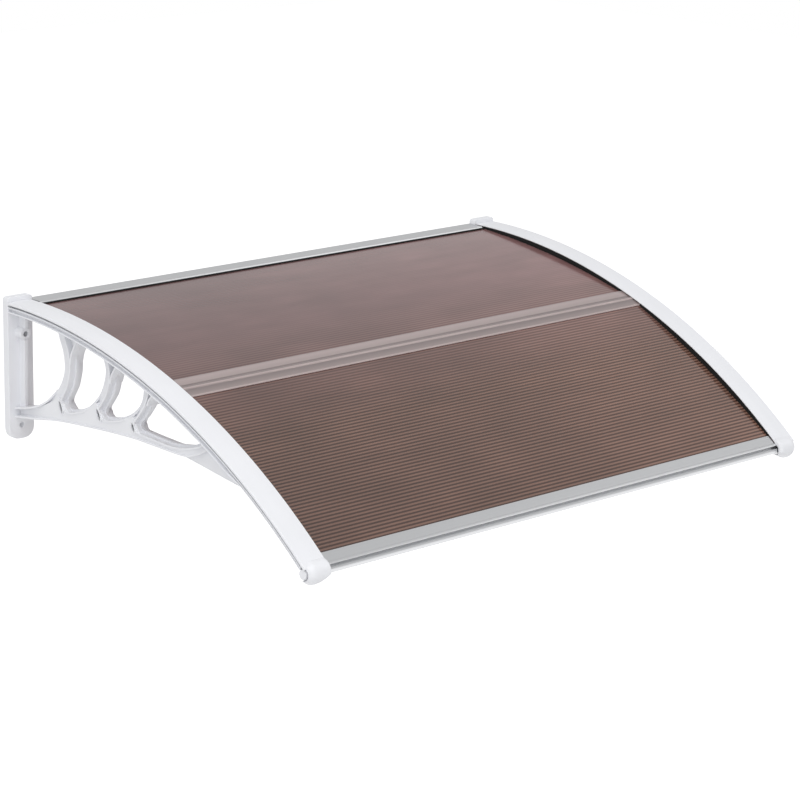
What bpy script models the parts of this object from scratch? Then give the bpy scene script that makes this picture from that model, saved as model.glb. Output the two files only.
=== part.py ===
"""Polycarbonate door canopy with two moulded wall brackets.

The canopy is drawn in its side section: u is the distance out from the wall and z the height above the
lower ends of the wall plates. X runs along the wall, the canopy reaches out towards -Y, and +Z is up.
The origin is on the wall, in the middle of the rear bar's back face.
"""
import math

import bmesh
import bpy
from mathutils import Matrix

MM = 0.001

# Overall sizes
CANOPY_WIDTH = 1000.0 * MM
COVER_RADIUS = 1069.0 * MM
ARC_CENTRE_U = 33.2 * MM
ARC_CENTRE_Z = -854.6 * MM
NOSE_ANGLE = math.radians(38.78)
CLEARANCE = 0.3 * MM
STAGGER = 0.4 * MM
ARC_STEP = math.radians(1.5)
BOW_STEPS = 16

# Wall plates
PLATE_WIDTH = 45.0 * MM
PLATE_THICKNESS = 13.3 * MM
PLATE_HEIGHT = 220.7 * MM
PLATE_TOP_ROUNDING = 6.0 * MM
PLATE_FOOT_ROUNDING = 20.0 * MM
PLATE_BITE = 3.0 * MM
BOSS_DIAMETER = 19.0 * MM
BOSS_REACH = 27.5 * MM
BOSS_HEIGHT = 165.0 * MM
FOOT_HOLE_HEIGHT = 21.5 * MM
WALL_HOLE_DIAMETER = 8.0 * MM

# Covers
COVER_WIDTH = 41.2 * MM
COVER_SHELL = 2.5 * MM
COVER_SKIRT_DEPTH = 3.0 * MM
COVER_SKIRT_WALL = 2.2 * MM
COVER_EDGE_ROUNDING = 1.0 * MM
TONGUE_WIDTH = 6.0 * MM
TONGUE_DEPTH = 6.9 * MM
BULB_RADIUS = 16.8 * MM
BULB_OFFSET = 12.3 * MM
BULB_BORE_RADIUS = 8.3 * MM
BULB_END_ROUNDING = 7.0 * MM
BULB_CUT_DEPTH = 5.5 * MM
BULB_LIP_REACH = 4.5 * MM

# Rails along the top of the brackets
RAIL_INSET = 1.5 * MM
RAIL_TOP_DROP = 7.7 * MM
RAIL_DEPTH = 9.3 * MM
RAIL_FLANGE = 2.2 * MM
RAIL_FOOT = 1.8 * MM
RAIL_RECESS = 3.0 * MM
RAIL_FRONT_DEPTH = 4.6 * MM
RAIL_FRONT_START = 566.0 * MM
RAIL_TAPER = 45.0 * MM
RAIL_TIP_LAP = 3.0 * MM
NOSE_RADIUS = 7.8 * MM

# Web, straps and arm of the brackets
WEB_THICKNESS = 5.0 * MM
STRAP_WIDTH = 24.0 * MM
STRAP_THICKNESS = 3.0 * MM
SLIT_WIDTH = 4.0 * MM

# Twin-wall sheets
SHEET_THICKNESS = 4.0 * MM
SHEET_SKIN = 0.5 * MM
SHEET_RIB = 0.45 * MM
SHEET_PITCH = 6.0 * MM
SHEET_EDGE_INSET = 29.5 * MM
SHEET_END_DROP = 5.3 * MM
SHEET_SAG = 5.2 * MM
SHEET_REAR_U = 16.0 * MM
JOINT_ANGLE = math.radians(18.9)

# Joint profile between the sheets
JOINT_WING = 22.0 * MM
JOINT_WALL = 1.3 * MM
JOINT_WEB = 2.0 * MM
JOINT_RIDGE_WIDTH = 5.0 * MM
JOINT_RIDGE_HEIGHT = 0.9 * MM

# Front bar
FRONT_FLANGE_LENGTH = 27.0 * MM
FRONT_LOWER_LENGTH = 18.0 * MM
FRONT_WALL = 1.5 * MM
FRONT_SLOT_END = 8.0 * MM
FRONT_SHEET_LEVEL = 7.1 * MM
BEAD_RADIUS = 6.3 * MM

# Rear bar and its seal
REAR_FLANGE_REACH = 33.0 * MM
REAR_LIP_REACH = 28.0 * MM
REAR_WALL = 2.5 * MM
REAR_LIP_WALL = 1.6 * MM
REAR_TOP = 212.4 * MM
REAR_BACK_HEIGHT = 28.0 * MM
REAR_SEAL_WIDTH = 2.6 * MM

# Side seals
SEAL_INSET = 0.4 * MM
SEAL_END_GAP = 1.2 * MM

HALF_WIDTH = CANOPY_WIDTH / 2
BRACKET_MIDDLE = HALF_WIDTH - PLATE_WIDTH / 2
SHEET_HALF_WIDTH = HALF_WIDTH - SHEET_EDGE_INSET
COVER_INNER_X = HALF_WIDTH - COVER_WIDTH
RAIL_OUTER_X = HALF_WIDTH - RAIL_INSET
RAIL_INNER_X = RAIL_OUTER_X - (PLATE_WIDTH - 2 * RAIL_INSET)
COVER_UNDERSIDE = COVER_RADIUS - COVER_SHELL
RAIL_TOP_RADIUS = COVER_RADIUS - RAIL_TOP_DROP
RAIL_LOW_RADIUS = RAIL_TOP_RADIUS - RAIL_DEPTH
RAIL_FRONT_RADIUS = RAIL_TOP_RADIUS - RAIL_FRONT_DEPTH
SHEET_TOP_RADIUS = COVER_RADIUS - SHEET_END_DROP
NOSE_ORBIT = COVER_RADIUS - BULB_OFFSET
ORIGIN_HEIGHT = REAR_TOP - REAR_BACK_HEIGHT / 2


# Section geometry
def on_arc(radius, angle):
    """Point of the section at an angle from the upright, about the centre of the covers' arc."""
    return (ARC_CENTRE_U + radius * math.sin(angle), ARC_CENTRE_Z + radius * math.cos(angle))


def arc_angle(u, radius):
    """Angle at which an arc of this radius is at distance u from the wall."""
    return math.asin((u - ARC_CENTRE_U) / radius)


def arc_line(radius, start, end):
    """Points of an arc at its ends and at every whole step between them, the same for each radius."""
    low, high = sorted((start, end))
    first = math.floor(low / ARC_STEP + 0.3) + 1
    last = math.ceil(high / ARC_STEP - 0.3) - 1
    angles = [low] + [ARC_STEP * i for i in range(first, last + 1)] + [high]
    return [on_arc(radius, angle) for angle in (angles if start < end else reversed(angles))]


def arc_band(low, high, start, end, taper=0.0):
    """Closed outline between two arcs about the same centre; the lower arc ends a taper earlier."""
    return arc_line(high, start, end) + arc_line(low, end - taper, start)


def smooth_line(points, steps=3):
    """Even curve through the points, with steps between each pair of them."""
    ends = [points[0]] + list(points) + [points[-1]]
    line = []
    for a, b, c, d in zip(ends, ends[1:], ends[2:], ends[3:]):
        for i in range(steps):
            s = i / steps
            line.append(tuple(
                0.5 * (2 * q + (r - p) * s + (2 * p - 5 * q + 4 * r - t) * s * s + (3 * q - p - 3 * r + t) * s ** 3)
                for p, q, r, t in zip(a, b, c, d)))
    line.append(tuple(points[-1]))
    return line


def in_mm(points):
    return [tuple(value * MM for value in point) for point in points]


class Frame:
    """Local axes in the section: t runs down the slope, away from the wall, and n points up and out."""

    def __init__(self, origin, slope):
        self.origin = origin
        self.t_axis = (math.cos(slope), -math.sin(slope))
        self.n_axis = (math.sin(slope), math.cos(slope))

    def at(self, t, n):
        return tuple(o + t * a + n * b for o, a, b in zip(self.origin, self.t_axis, self.n_axis))


class Bow:
    """Flat arc of a sheet's upper face between two end points, a sag below the covers' arc in its middle."""

    def __init__(self, start, end, sag):
        chord_u = end[0] - start[0]
        chord_z = end[1] - start[1]
        chord = math.hypot(chord_u, chord_z)
        rise = SHEET_TOP_RADIUS - math.sqrt(SHEET_TOP_RADIUS ** 2 - chord * chord / 4) - sag
        self.radius = chord * chord / (8 * rise) + rise / 2
        self.half = math.asin(chord / 2 / self.radius)
        self.slope = math.atan2(-chord_z, chord_u)
        self.length = 2 * self.half * self.radius
        self.centre = Frame(start, self.slope).at(chord / 2, rise - self.radius)

    def at(self, share, depth=0.0):
        """Point at a share of the length, a depth below the upper face."""
        angle = self.slope - self.half + 2 * self.half * share
        radius = self.radius - depth
        return (self.centre[0] + radius * math.sin(angle), self.centre[1] + radius * math.cos(angle))

    def line(self, depth, start=0.0, end=1.0, steps=BOW_STEPS):
        return [self.at(start + (end - start) * i / steps, depth) for i in range(steps + 1)]

    def share_at(self, distance):
        """Share of the length at a distance from the start, or from the end where it is negative."""
        return distance / self.length if distance >= 0 else 1 + distance / self.length


NOSE_CENTRE = on_arc(NOSE_ORBIT, NOSE_ANGLE)
NOSE_FRAME = Frame(NOSE_CENTRE, NOSE_ANGLE)
JOINT_HALF_GAP = JOINT_WEB / 2 + CLEARANCE
REAR_BOW = Bow(on_arc(SHEET_TOP_RADIUS, arc_angle(SHEET_REAR_U, SHEET_TOP_RADIUS)),
               on_arc(SHEET_TOP_RADIUS, JOINT_ANGLE - JOINT_HALF_GAP / SHEET_TOP_RADIUS), SHEET_SAG)
FRONT_BOW = Bow(on_arc(SHEET_TOP_RADIUS, JOINT_ANGLE + JOINT_HALF_GAP / SHEET_TOP_RADIUS),
                NOSE_FRAME.at(-FRONT_SLOT_END, FRONT_SHEET_LEVEL), SHEET_SAG)
REAR_END_FRAME = Frame(REAR_BOW.at(1), REAR_BOW.slope + REAR_BOW.half)
FRONT_START_FRAME = Frame(FRONT_BOW.at(0), FRONT_BOW.slope - FRONT_BOW.half)
FRONT_END_FRAME = Frame(FRONT_BOW.at(1), FRONT_BOW.slope + FRONT_BOW.half)


# Scene
def clear_scene():
    for item in list(bpy.data.objects):
        bpy.data.objects.remove(item, do_unlink=True)


def new_collection(name):
    collection = bpy.data.collections.new(name)
    bpy.context.scene.collection.children.link(collection)
    return collection


def new_material(name, colour, roughness, metallic=0.0, alpha=1.0):
    material = bpy.data.materials.new(name)
    material.use_nodes = True
    shader = material.node_tree.nodes["Principled BSDF"]
    shader.inputs["Base Color"].default_value = (*colour, 1.0)
    shader.inputs["Roughness"].default_value = roughness
    shader.inputs["Metallic"].default_value = metallic
    shader.inputs["Alpha"].default_value = alpha
    return material


clear_scene()
CANOPY = new_collection("door_canopy")
CUTTERS = new_collection("cutters")
ROOT = bpy.data.objects.new("canopy_origin", None)
ROOT.location = (0.0, 0.0, -ORIGIN_HEIGHT)
CANOPY.objects.link(ROOT)
WHITE = new_material("white_plastic", (0.80, 0.81, 0.83), 0.35)
BRONZE = new_material("bronze_polycarbonate", (0.16, 0.10, 0.08), 0.15, alpha=0.85)
CLEAR = new_material("clear_polycarbonate", (0.62, 0.54, 0.53), 0.12, alpha=0.6)
ALUMINIUM = new_material("anodised_aluminium", (0.50, 0.52, 0.53), 0.3, metallic=1.0)
RUBBER = new_material("black_rubber", (0.01, 0.01, 0.01), 0.7)


# Solids
def link_mesh(name, mesh, material):
    item = bpy.data.objects.new(name, mesh)
    item.parent = ROOT
    mesh.materials.clear()
    mesh.materials.append(material)
    mesh.set_sharp_from_angle(angle=math.radians(30))
    CANOPY.objects.link(item)
    return item


def extruded(name, loops, x_low, x_high, material):
    """Flat outline of the side section, with holes, extruded along X."""
    curve = bpy.data.curves.new(name, "CURVE")
    curve.dimensions = "2D"
    curve.fill_mode = "BOTH"
    curve.extrude = (x_high - x_low) / 2
    for loop in loops:
        spline = curve.splines.new("POLY")
        spline.points.add(len(loop) - 1)
        for point, (u, z) in zip(spline.points, loop):
            point.co = (u, z, 0.0, 1.0)
        spline.use_cyclic_u = True
    drawn = bpy.data.objects.new(name, curve)
    drawn.rotation_euler = (math.pi / 2, 0.0, -math.pi / 2)
    drawn.location = ((x_low + x_high) / 2, 0.0, 0.0)
    CANOPY.objects.link(drawn)
    bpy.context.view_layer.update()
    mesh = bpy.data.meshes.new_from_object(drawn.evaluated_get(bpy.context.evaluated_depsgraph_get()))
    mesh.transform(drawn.matrix_world)
    bpy.data.objects.remove(drawn)
    bpy.data.curves.remove(curve)
    weld(mesh, len(loops) == 1)
    return link_mesh(name, mesh, material)


def weld(mesh, whole_caps):
    """Close a curve's caps; an outline without holes gets each cap as one face."""
    work = bmesh.new()
    work.from_mesh(mesh)
    bmesh.ops.remove_doubles(work, verts=work.verts, dist=0.01 * MM)
    if whole_caps:
        bmesh.ops.dissolve_limit(work, angle_limit=math.radians(0.02), verts=work.verts, edges=work.edges)
    bmesh.ops.recalc_face_normals(work, faces=work.faces)
    work.to_mesh(mesh)
    work.free()


def cylinder(name, radius, start, end, axis_turn, material, segments=32):
    """Cylinder between two points of one axis, turned from Z by axis_turn."""
    work = bmesh.new()
    length = (sum((b - a) ** 2 for a, b in zip(start, end))) ** 0.5
    middle = [(a + b) / 2 for a, b in zip(start, end)]
    bmesh.ops.create_cone(work, cap_ends=True, segments=segments, radius1=radius, radius2=radius, depth=length,
                          matrix=Matrix.Translation(middle) @ axis_turn)
    mesh = bpy.data.meshes.new(name)
    work.to_mesh(mesh)
    work.free()
    return link_mesh(name, mesh, material)


ALONG_X = Matrix.Rotation(math.pi / 2, 4, "Y")
ALONG_Y = Matrix.Rotation(math.pi / 2, 4, "X")


def lofted(name, stations, material):
    """Closed body through rectangular stations, each with its low edge, high edge and half width in X."""
    work = bmesh.new()
    rings = []
    for low, high, half in stations:
        corners = [(-half, low), (half, low), (half, high), (-half, high)]
        rings.append([work.verts.new((-BRACKET_MIDDLE + x, -u, z)) for x, (u, z) in corners])
    for ring, following in zip(rings, rings[1:]):
        for i in range(4):
            j = (i + 1) % 4
            work.faces.new((ring[i], ring[j], following[j], following[i]))
    work.faces.new(rings[0])
    work.faces.new(rings[-1])
    bmesh.ops.recalc_face_normals(work, faces=work.faces)
    mesh = bpy.data.meshes.new(name)
    work.to_mesh(mesh)
    work.free()
    return link_mesh(name, mesh, material)


def strap(name, points):
    """Moulded strap along a curve of the section; each point is u and z in mm and a share of the full width."""
    line = smooth_line([(u * MM, z * MM, share) for u, z, share in points], 2)
    stations = []
    for i, (u, z, share) in enumerate(line):
        before = line[max(i - 1, 0)]
        after = line[min(i + 1, len(line) - 1)]
        slope = math.atan2(after[1] - before[1], after[0] - before[0])
        across = (-math.sin(slope) * STRAP_THICKNESS / 2, math.cos(slope) * STRAP_THICKNESS / 2)
        stations.append(((u - across[0], z - across[1]), (u + across[0], z + across[1]), share * STRAP_WIDTH / 2))
    return lofted(name, stations, WHITE)


def combine(item, tools, operation):
    """Join the item with all the tools, or cut it by them, in one step."""
    group = bpy.data.collections.new(f"{item.name}_{operation.lower()}")
    CUTTERS.children.link(group)
    for tool in tools:
        for holder in list(tool.users_collection):
            holder.objects.unlink(tool)
        group.objects.link(tool)
        tool.hide_render = True
        tool.display_type = "WIRE"
    modifier = item.modifiers.new(operation.lower(), "BOOLEAN")
    modifier.operation = operation
    modifier.solver = "EXACT"
    modifier.operand_type = "COLLECTION"
    modifier.collection = group
    tidy = item.modifiers.new("tidy_" + operation.lower(), "WELD")
    tidy.merge_threshold = 0.02 * MM


def mirrored(item, name, material):
    """Copy of a finished left-hand piece for the right-hand side."""
    bpy.context.view_layer.update()
    mesh = bpy.data.meshes.new_from_object(item.evaluated_get(bpy.context.evaluated_depsgraph_get()))
    mesh.transform(Matrix.Scale(-1, 4, (1, 0, 0)))
    mesh.flip_normals()
    return link_mesh(name, mesh, material)


# Brackets
def plate_outline():
    """Wall plate seen from the front, as x from its middle and height."""
    half = PLATE_WIDTH / 2
    corners = [(half, PLATE_HEIGHT, PLATE_TOP_ROUNDING, 0), (-half, PLATE_HEIGHT, PLATE_TOP_ROUNDING, 90),
               (-half, 0.0, PLATE_FOOT_ROUNDING, 180), (half, 0.0, PLATE_FOOT_ROUNDING, 270)]
    outline = []
    for x, z, rounding, start in corners:
        centre_x = x - math.copysign(rounding, x)
        centre_z = z - rounding if z > 0 else z + rounding
        for i in range(9):
            angle = math.radians(start + 90 * i / 8)
            outline.append((centre_x + rounding * math.cos(angle), centre_z + rounding * math.sin(angle)))
    return outline


def wall_plate():
    item = extruded("plate", [plate_outline()], -PLATE_THICKNESS / 2, PLATE_THICKNESS / 2, WHITE)
    turn = Matrix.Translation((-BRACKET_MIDDLE, -PLATE_THICKNESS / 2, 0)) @ Matrix.Rotation(math.pi / 2, 4, "Z")
    item.data.transform(turn)
    return item


def rail_pieces():
    """The rail: two flanges with a recessed side between them, a thin front end and the sheet's ledge.

    Neighbouring bars end a stagger apart in every direction, so that no two of their faces coincide.
    """
    start = arc_angle(PLATE_THICKNESS - PLATE_BITE, RAIL_TOP_RADIUS)
    thin = arc_angle(RAIL_FRONT_START, RAIL_LOW_RADIUS)
    tip = NOSE_ANGLE - (BULB_BORE_RADIUS + CLEARANCE) / NOSE_ORBIT
    taper = RAIL_TAPER / RAIL_LOW_RADIUS
    lap = RAIL_TIP_LAP / NOSE_ORBIT
    outer = -RAIL_OUTER_X
    inner = -(SHEET_HALF_WIDTH + 4 * CLEARANCE)
    half_groove = TONGUE_WIDTH / 2 + CLEARANCE
    groove = COVER_UNDERSIDE - TONGUE_DEPTH - CLEARANCE
    foot_top = RAIL_LOW_RADIUS + RAIL_FOOT
    top = arc_band(RAIL_TOP_RADIUS - RAIL_FLANGE - STAGGER, RAIL_TOP_RADIUS, start, tip)
    core = arc_band(RAIL_LOW_RADIUS + RAIL_FOOT / 2, groove, start, thin - lap, taper)
    foot = arc_band(RAIL_LOW_RADIUS, foot_top, start, thin - taper / 2, taper / 2)
    front = arc_band(RAIL_FRONT_RADIUS, groove - STAGGER, thin - taper, tip - lap / 3)
    bridge = arc_band(groove - 2 * STAGGER, RAIL_TOP_RADIUS - STAGGER, tip - 2 * lap, tip - lap / 2)
    neck = arc_band(RAIL_FRONT_RADIUS + STAGGER, groove - 3 * STAGGER, tip - lap, NOSE_ANGLE - lap)
    yield extruded("rail_top_outer", [top], outer, -BRACKET_MIDDLE - half_groove, WHITE)
    yield extruded("rail_top_inner", [top], half_groove - BRACKET_MIDDLE, inner, WHITE)
    yield extruded("rail_core", [core], outer + RAIL_RECESS, inner - STAGGER, WHITE)
    yield extruded("rail_foot", [foot], outer, STAGGER - RAIL_INNER_X, WHITE)
    yield extruded("rail_front", [front], outer + STAGGER, inner - 2 * STAGGER, WHITE)
    yield extruded("rail_tip", [bridge], outer + 2 * STAGGER, inner - 3 * STAGGER, WHITE)
    yield extruded("rail_neck", [neck], outer + 3 * STAGGER, -BRACKET_MIDDLE - 2 * CLEARANCE, WHITE)
    yield extruded("rail_ledge", [ledge_outline(start)], inner - 4 * STAGGER, -RAIL_INNER_X, WHITE)


def ledge_outline(start):
    """Ledge that carries the sheets' side edges and the joint profile, down to the rail's foot."""
    depth = SHEET_THICKNESS + CLEARANCE
    seat = depth + JOINT_WALL + CLEARANCE
    wing = JOINT_WING + CLEARANCE
    rear = REAR_BOW.line(depth, 0.0, REAR_BOW.share_at(-wing))
    rear.insert(0, (PLATE_THICKNESS - PLATE_BITE, rear[0][1]))
    joint = [REAR_END_FRAME.at(-wing, -seat), REAR_END_FRAME.at(JOINT_HALF_GAP, -seat),
             FRONT_START_FRAME.at(wing, -seat)]
    end_share = FRONT_BOW.share_at(-FRONT_LOWER_LENGTH - RAIL_TIP_LAP)
    front = FRONT_BOW.line(depth, FRONT_BOW.share_at(wing), end_share)
    low = RAIL_LOW_RADIUS + CLEARANCE / 2
    end = arc_angle(front[-1][0], low)
    return rear + joint + front + arc_line(low, end, start)


# Openings and straps of the bracket, in millimetres of the section. A strap's third value is a share of its full
# width, and the arm's last three are its low edge, its high edge and its half width.
def rail_seat(u):
    """End of a strap inside the rail's foot, at u and at the strap's full width."""
    radius = RAIL_LOW_RADIUS + RAIL_FOOT * 0.6
    return (u, on_arc(radius, arc_angle(u * MM, radius))[1] / MM, 1)


OPENINGS = [
    ([(26.5, 90), (26.5, 57), (30, 54), (53.4, 60.5), (88.3, 75.5), (108.1, 94.0), (120.8, 110.3), (129.1, 131.5),
      (126.6, 156), (117, 176)], (110, 30)),
    ([(160, 160), (160, 143), (157, 124), (151, 107), (141, 92), (138, 84), (141, 77.5), (152, 76.0), (169, 80),
      (189, 88.5), (206, 102), (217, 114), (226, 131), (231, 151), (226, 167)], (219, 175)),
    ([(258, 150), (256, 135), (250, 119), (239, 104), (231.5, 93), (232, 86.5), (240, 84.5), (260, 87.5),
      (281, 94.5), (297, 103), (310, 114), (318, 126), (321.5, 140)], (317, 274)),
    ([(345, 131), (340, 121), (328, 104), (316.5, 92), (316, 86.5), (321, 83.2), (345, 81.5), (375, 80.5),
      (400, 80.8), (425, 84.5)], (452, 360)),
]
SCROLLS = [
    [rail_seat(136.2), (140.5, 186.7, 1), (150.7, 164.2, 1), (154.5, 142, 1), (151.4, 125, 1), (145.5, 108.5, 1),
     (135, 92.5, 1), (131.3, 84, 1), (134, 75, 1), (144, 71.3, 1), (156, 72, 1), (169.5, 75.8, 1),
     (190.3, 84, 0.9), (208, 98, 0.6), (219, 112, 0.22)],
    [rail_seat(244), (248.5, 166.4, 1), (251.5, 150, 1), (249, 135, 1), (243, 119, 1), (232, 104, 1),
     (224.5, 93.7, 1), (225.5, 84.5, 1), (233, 80, 1), (245, 80.2, 1), (260.5, 83, 1), (283, 90, 0.9),
     (301, 100, 0.6), (312.5, 113, 0.22)],
    [rail_seat(342.5), (342.4, 141.4, 1), (335.5, 124.6, 1), (322, 107, 1), (310.5, 94, 1), (309.2, 86, 1),
     (315, 79.5, 1), (326, 78.0, 1), (365.6, 76.6, 1), (399.6, 76.4, 1), (431.5, 81.4, 1), (462.8, 92, 1),
     rail_seat(477.5)],
]
LOWER_FLANGE = [(8, 35.5, 1), (66, 44, 1), (129, 55, 1), (229, 64.4, 1), (297, 69, 1), (336, 69.8, 1),
                (395, 69.6, 1), (428, 70.8, 1), (452, 78, 1), (472, 88.5, 1), rail_seat(484.5)]
UPPER_FLANGE = [(8, 48, 1), (44, 56, 1), (70, 64.5, 0.9), (92, 77.5, 0.6), (110, 96, 0.22)]
ARM = [(10, 36, 49, 2.6), (40, 40.5, 56, 3.5), (75, 45.5, 66, 6), (105, 51.5, 88, 9), (118, 54, 103, 10),
       (132, 56, 86, 10), (150, 58, 71.5, 10), (170, 60, 76, 10), (190, 62, 83.5, 10), (209, 64, 97.5, 10),
       (217, 64.5, 106, 10), (226, 65.5, 90, 10), (245, 66.5, 80, 10), (262, 67.5, 83, 10), (283, 68.5, 89.5, 10),
       (300, 69, 98, 10), (306, 69.2, 103, 10), (312, 69.4, 90, 10), (325, 69.5, 78, 10), (365, 70, 76.4, 10),
       (400, 70, 76, 10), (431, 71.3, 81, 10), (447, 77, 86, 8)]
SLITS = [((126.5, 86), (134.5, 66.5)), ((220, 94), (228.5, 76.5)), ((304.5, 91.5), (310, 78))]
WEB_LOWER_EDGE = [(10, 36), (66, 44), (129, 55), (229, 64.4), (297, 69), (336, 69.6), (380, 68.8), (419, 65.0),
                  (468, 59.2), (529, 52.0), (572, 49)]


def web_outlines():
    start = arc_angle(PLATE_THICKNESS - PLATE_BITE - STAGGER, RAIL_LOW_RADIUS)
    end = arc_angle(WEB_LOWER_EDGE[-1][0] * MM, RAIL_LOW_RADIUS)
    outer = arc_line(RAIL_LOW_RADIUS + 1.5 * RAIL_FLANGE, start, end) + smooth_line(in_mm(WEB_LOWER_EDGE), 2)[::-1]
    loops = [outer]
    for sides, (last_u, first_u) in OPENINGS:
        top_start = arc_angle(first_u * MM, RAIL_LOW_RADIUS)
        top_end = arc_angle(last_u * MM, RAIL_LOW_RADIUS)
        loops.append(smooth_line(in_mm(sides), 2) + arc_line(RAIL_LOW_RADIUS + RAIL_FOOT / 3, top_end, top_start))
    return loops


def slit(name, ends):
    """Lens-shaped slit at the foot of a scroll."""
    (u0, z0), (u1, z1) = in_mm(ends)
    length = math.hypot(u1 - u0, z1 - z0)
    frame = Frame((u0, z0), math.atan2(z0 - z1, u1 - u0))
    side = [frame.at(length * i / 8, SLIT_WIDTH / 2 * math.sin(math.pi * i / 8) ** 0.6) for i in range(9)]
    back = [frame.at(length * i / 8, -SLIT_WIDTH / 2 * math.sin(math.pi * i / 8) ** 0.6) for i in range(7, 0, -1)]
    return extruded(name, [side + back], -BRACKET_MIDDLE - STRAP_WIDTH, -BRACKET_MIDDLE + STRAP_WIDTH, WHITE)


def left_bracket():
    bracket = wall_plate()
    bracket.name = "bracket_left"
    middle = -BRACKET_MIDDLE
    web = extruded("web", web_outlines(), middle - WEB_THICKNESS / 2, middle + WEB_THICKNESS / 2, WHITE)
    boss = cylinder("boss", BOSS_DIAMETER / 2, (middle, -PLATE_THICKNESS / 2, BOSS_HEIGHT),
                    (middle, -BOSS_REACH, BOSS_HEIGHT), ALONG_Y, WHITE)
    nose_u, nose_z = NOSE_CENTRE
    nose = cylinder("nose", NOSE_RADIUS, (-RAIL_OUTER_X, -nose_u, nose_z),
                    (middle - CLEARANCE, -nose_u, nose_z), ALONG_X, WHITE)
    pieces = [web, boss, nose, *rail_pieces()]
    pieces += [strap(f"scroll_{i + 1}", points) for i, points in enumerate(SCROLLS)]
    pieces += [strap("lower_flange", LOWER_FLANGE), strap("upper_flange", UPPER_FLANGE)]
    stations = [((u * MM, low * MM), (u * MM, high * MM), half * MM) for u, low, high, half in ARM]
    pieces.append(lofted("arm", stations, WHITE))
    combine(bracket, pieces, "UNION")
    cutters = [slit(f"slit_{i + 1}", ends) for i, ends in enumerate(SLITS)]
    for name, height in (("boss_hole", BOSS_HEIGHT), ("foot_hole", FOOT_HOLE_HEIGHT)):
        cutters.append(cylinder(name, WALL_HOLE_DIAMETER / 2, (middle, 5 * MM, height), (middle, -60 * MM, height),
                                ALONG_Y, WHITE, segments=24))
    combine(bracket, cutters, "DIFFERENCE")
    return bracket


# Covers
def left_cover():
    start = arc_angle(PLATE_THICKNESS + CLEARANCE, COVER_RADIUS)
    shell_end = NOSE_ANGLE - 1 * MM / NOSE_ORBIT
    outer = -HALF_WIDTH
    inner = -COVER_INNER_X
    cover = extruded("cover_left", [arc_band(COVER_UNDERSIDE, COVER_RADIUS, start, shell_end)], outer, inner, WHITE)
    rounding = cover.modifiers.new("edge_rounding", "BEVEL")
    rounding.width = COVER_EDGE_ROUNDING
    rounding.segments = 2
    rounding.limit_method = "ANGLE"
    rounding.angle_limit = math.radians(40)
    skirt_end = NOSE_ANGLE - BULB_CUT_DEPTH / NOSE_ORBIT
    inside = start + 1.6 * MM / COVER_RADIUS
    skirt = arc_band(COVER_UNDERSIDE - COVER_SKIRT_DEPTH, COVER_UNDERSIDE + COVER_SHELL / 2, inside, skirt_end)
    pieces = [extruded("skirt", [skirt], outer + 0.3 * MM, outer + COVER_SKIRT_WALL, WHITE)]
    tongue_end = NOSE_ANGLE - 15 * MM / NOSE_ORBIT
    tongue = arc_band(COVER_UNDERSIDE - TONGUE_DEPTH, COVER_UNDERSIDE + COVER_SHELL / 2, inside, tongue_end)
    half = TONGUE_WIDTH / 2
    pieces.append(extruded("tongue", [tongue], -BRACKET_MIDDLE - half, -BRACKET_MIDDLE + half, WHITE))
    pieces.append(bulb(outer + 0.1 * MM, inner - 0.1 * MM))
    combine(cover, pieces, "UNION")
    nose_u, nose_z = NOSE_CENTRE
    bore = cylinder("bulb_bore", BULB_BORE_RADIUS, (outer - 10 * MM, -nose_u, nose_z),
                    (inner + 10 * MM, -nose_u, nose_z), ALONG_X, WHITE, 40)
    combine(cover, [bore], "DIFFERENCE")
    return cover


def bulb(x_low, x_high):
    """Round front end of a cover, open at the back for the rail, the sheet and the front bar."""
    nose_u, nose_z = NOSE_CENTRE
    barrel = cylinder("bulb", BULB_RADIUS, (x_low, -nose_u, nose_z), (x_high, -nose_u, nose_z), ALONG_X, WHITE,
                      40)
    rounding = barrel.modifiers.new("end_rounding", "BEVEL")
    rounding.width = BULB_END_ROUNDING
    rounding.segments = 3
    rounding.limit_method = "ANGLE"
    rounding.angle_limit = math.radians(60)
    reach = 2 * BULB_RADIUS
    top = COVER_UNDERSIDE + COVER_SHELL / 2 - NOSE_ORBIT
    block = [NOSE_FRAME.at(-reach, -reach), NOSE_FRAME.at(BULB_LIP_REACH, -reach),
             NOSE_FRAME.at(BULB_LIP_REACH, 0.0), NOSE_FRAME.at(-BULB_CUT_DEPTH, 0.0),
             NOSE_FRAME.at(-BULB_CUT_DEPTH, top), NOSE_FRAME.at(-reach, top)]
    combine(barrel, [extruded("bulb_back", [block], x_low - reach, x_high + reach, WHITE)], "DIFFERENCE")
    return barrel


# Sheets and joint profile
def twin_wall_sheet(name, bow):
    """Bent sheet with two skins and upright ribs between them, open along its side edges."""
    cells = round((bow.length - SHEET_RIB) / SHEET_PITCH)
    pitch = (bow.length - SHEET_RIB) / cells
    ends = [bow.share_at(0.0)] + [(SHEET_RIB / 2 + pitch * i) / bow.length for i in range(1, cells)] + [1.0]
    loops = [[bow.at(share) for share in ends] + [bow.at(share, SHEET_THICKNESS) for share in ends[::-1]]]
    for i in range(cells):
        left = (SHEET_RIB + pitch * i) / bow.length
        right = pitch * (i + 1) / bow.length
        high = SHEET_SKIN
        low = SHEET_THICKNESS - SHEET_SKIN
        loops.append([bow.at(left, high), bow.at(right, high), bow.at(right, low), bow.at(left, low)])
    return extruded(name, loops, -SHEET_HALF_WIDTH, SHEET_HALF_WIDTH, BRONZE)


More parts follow.
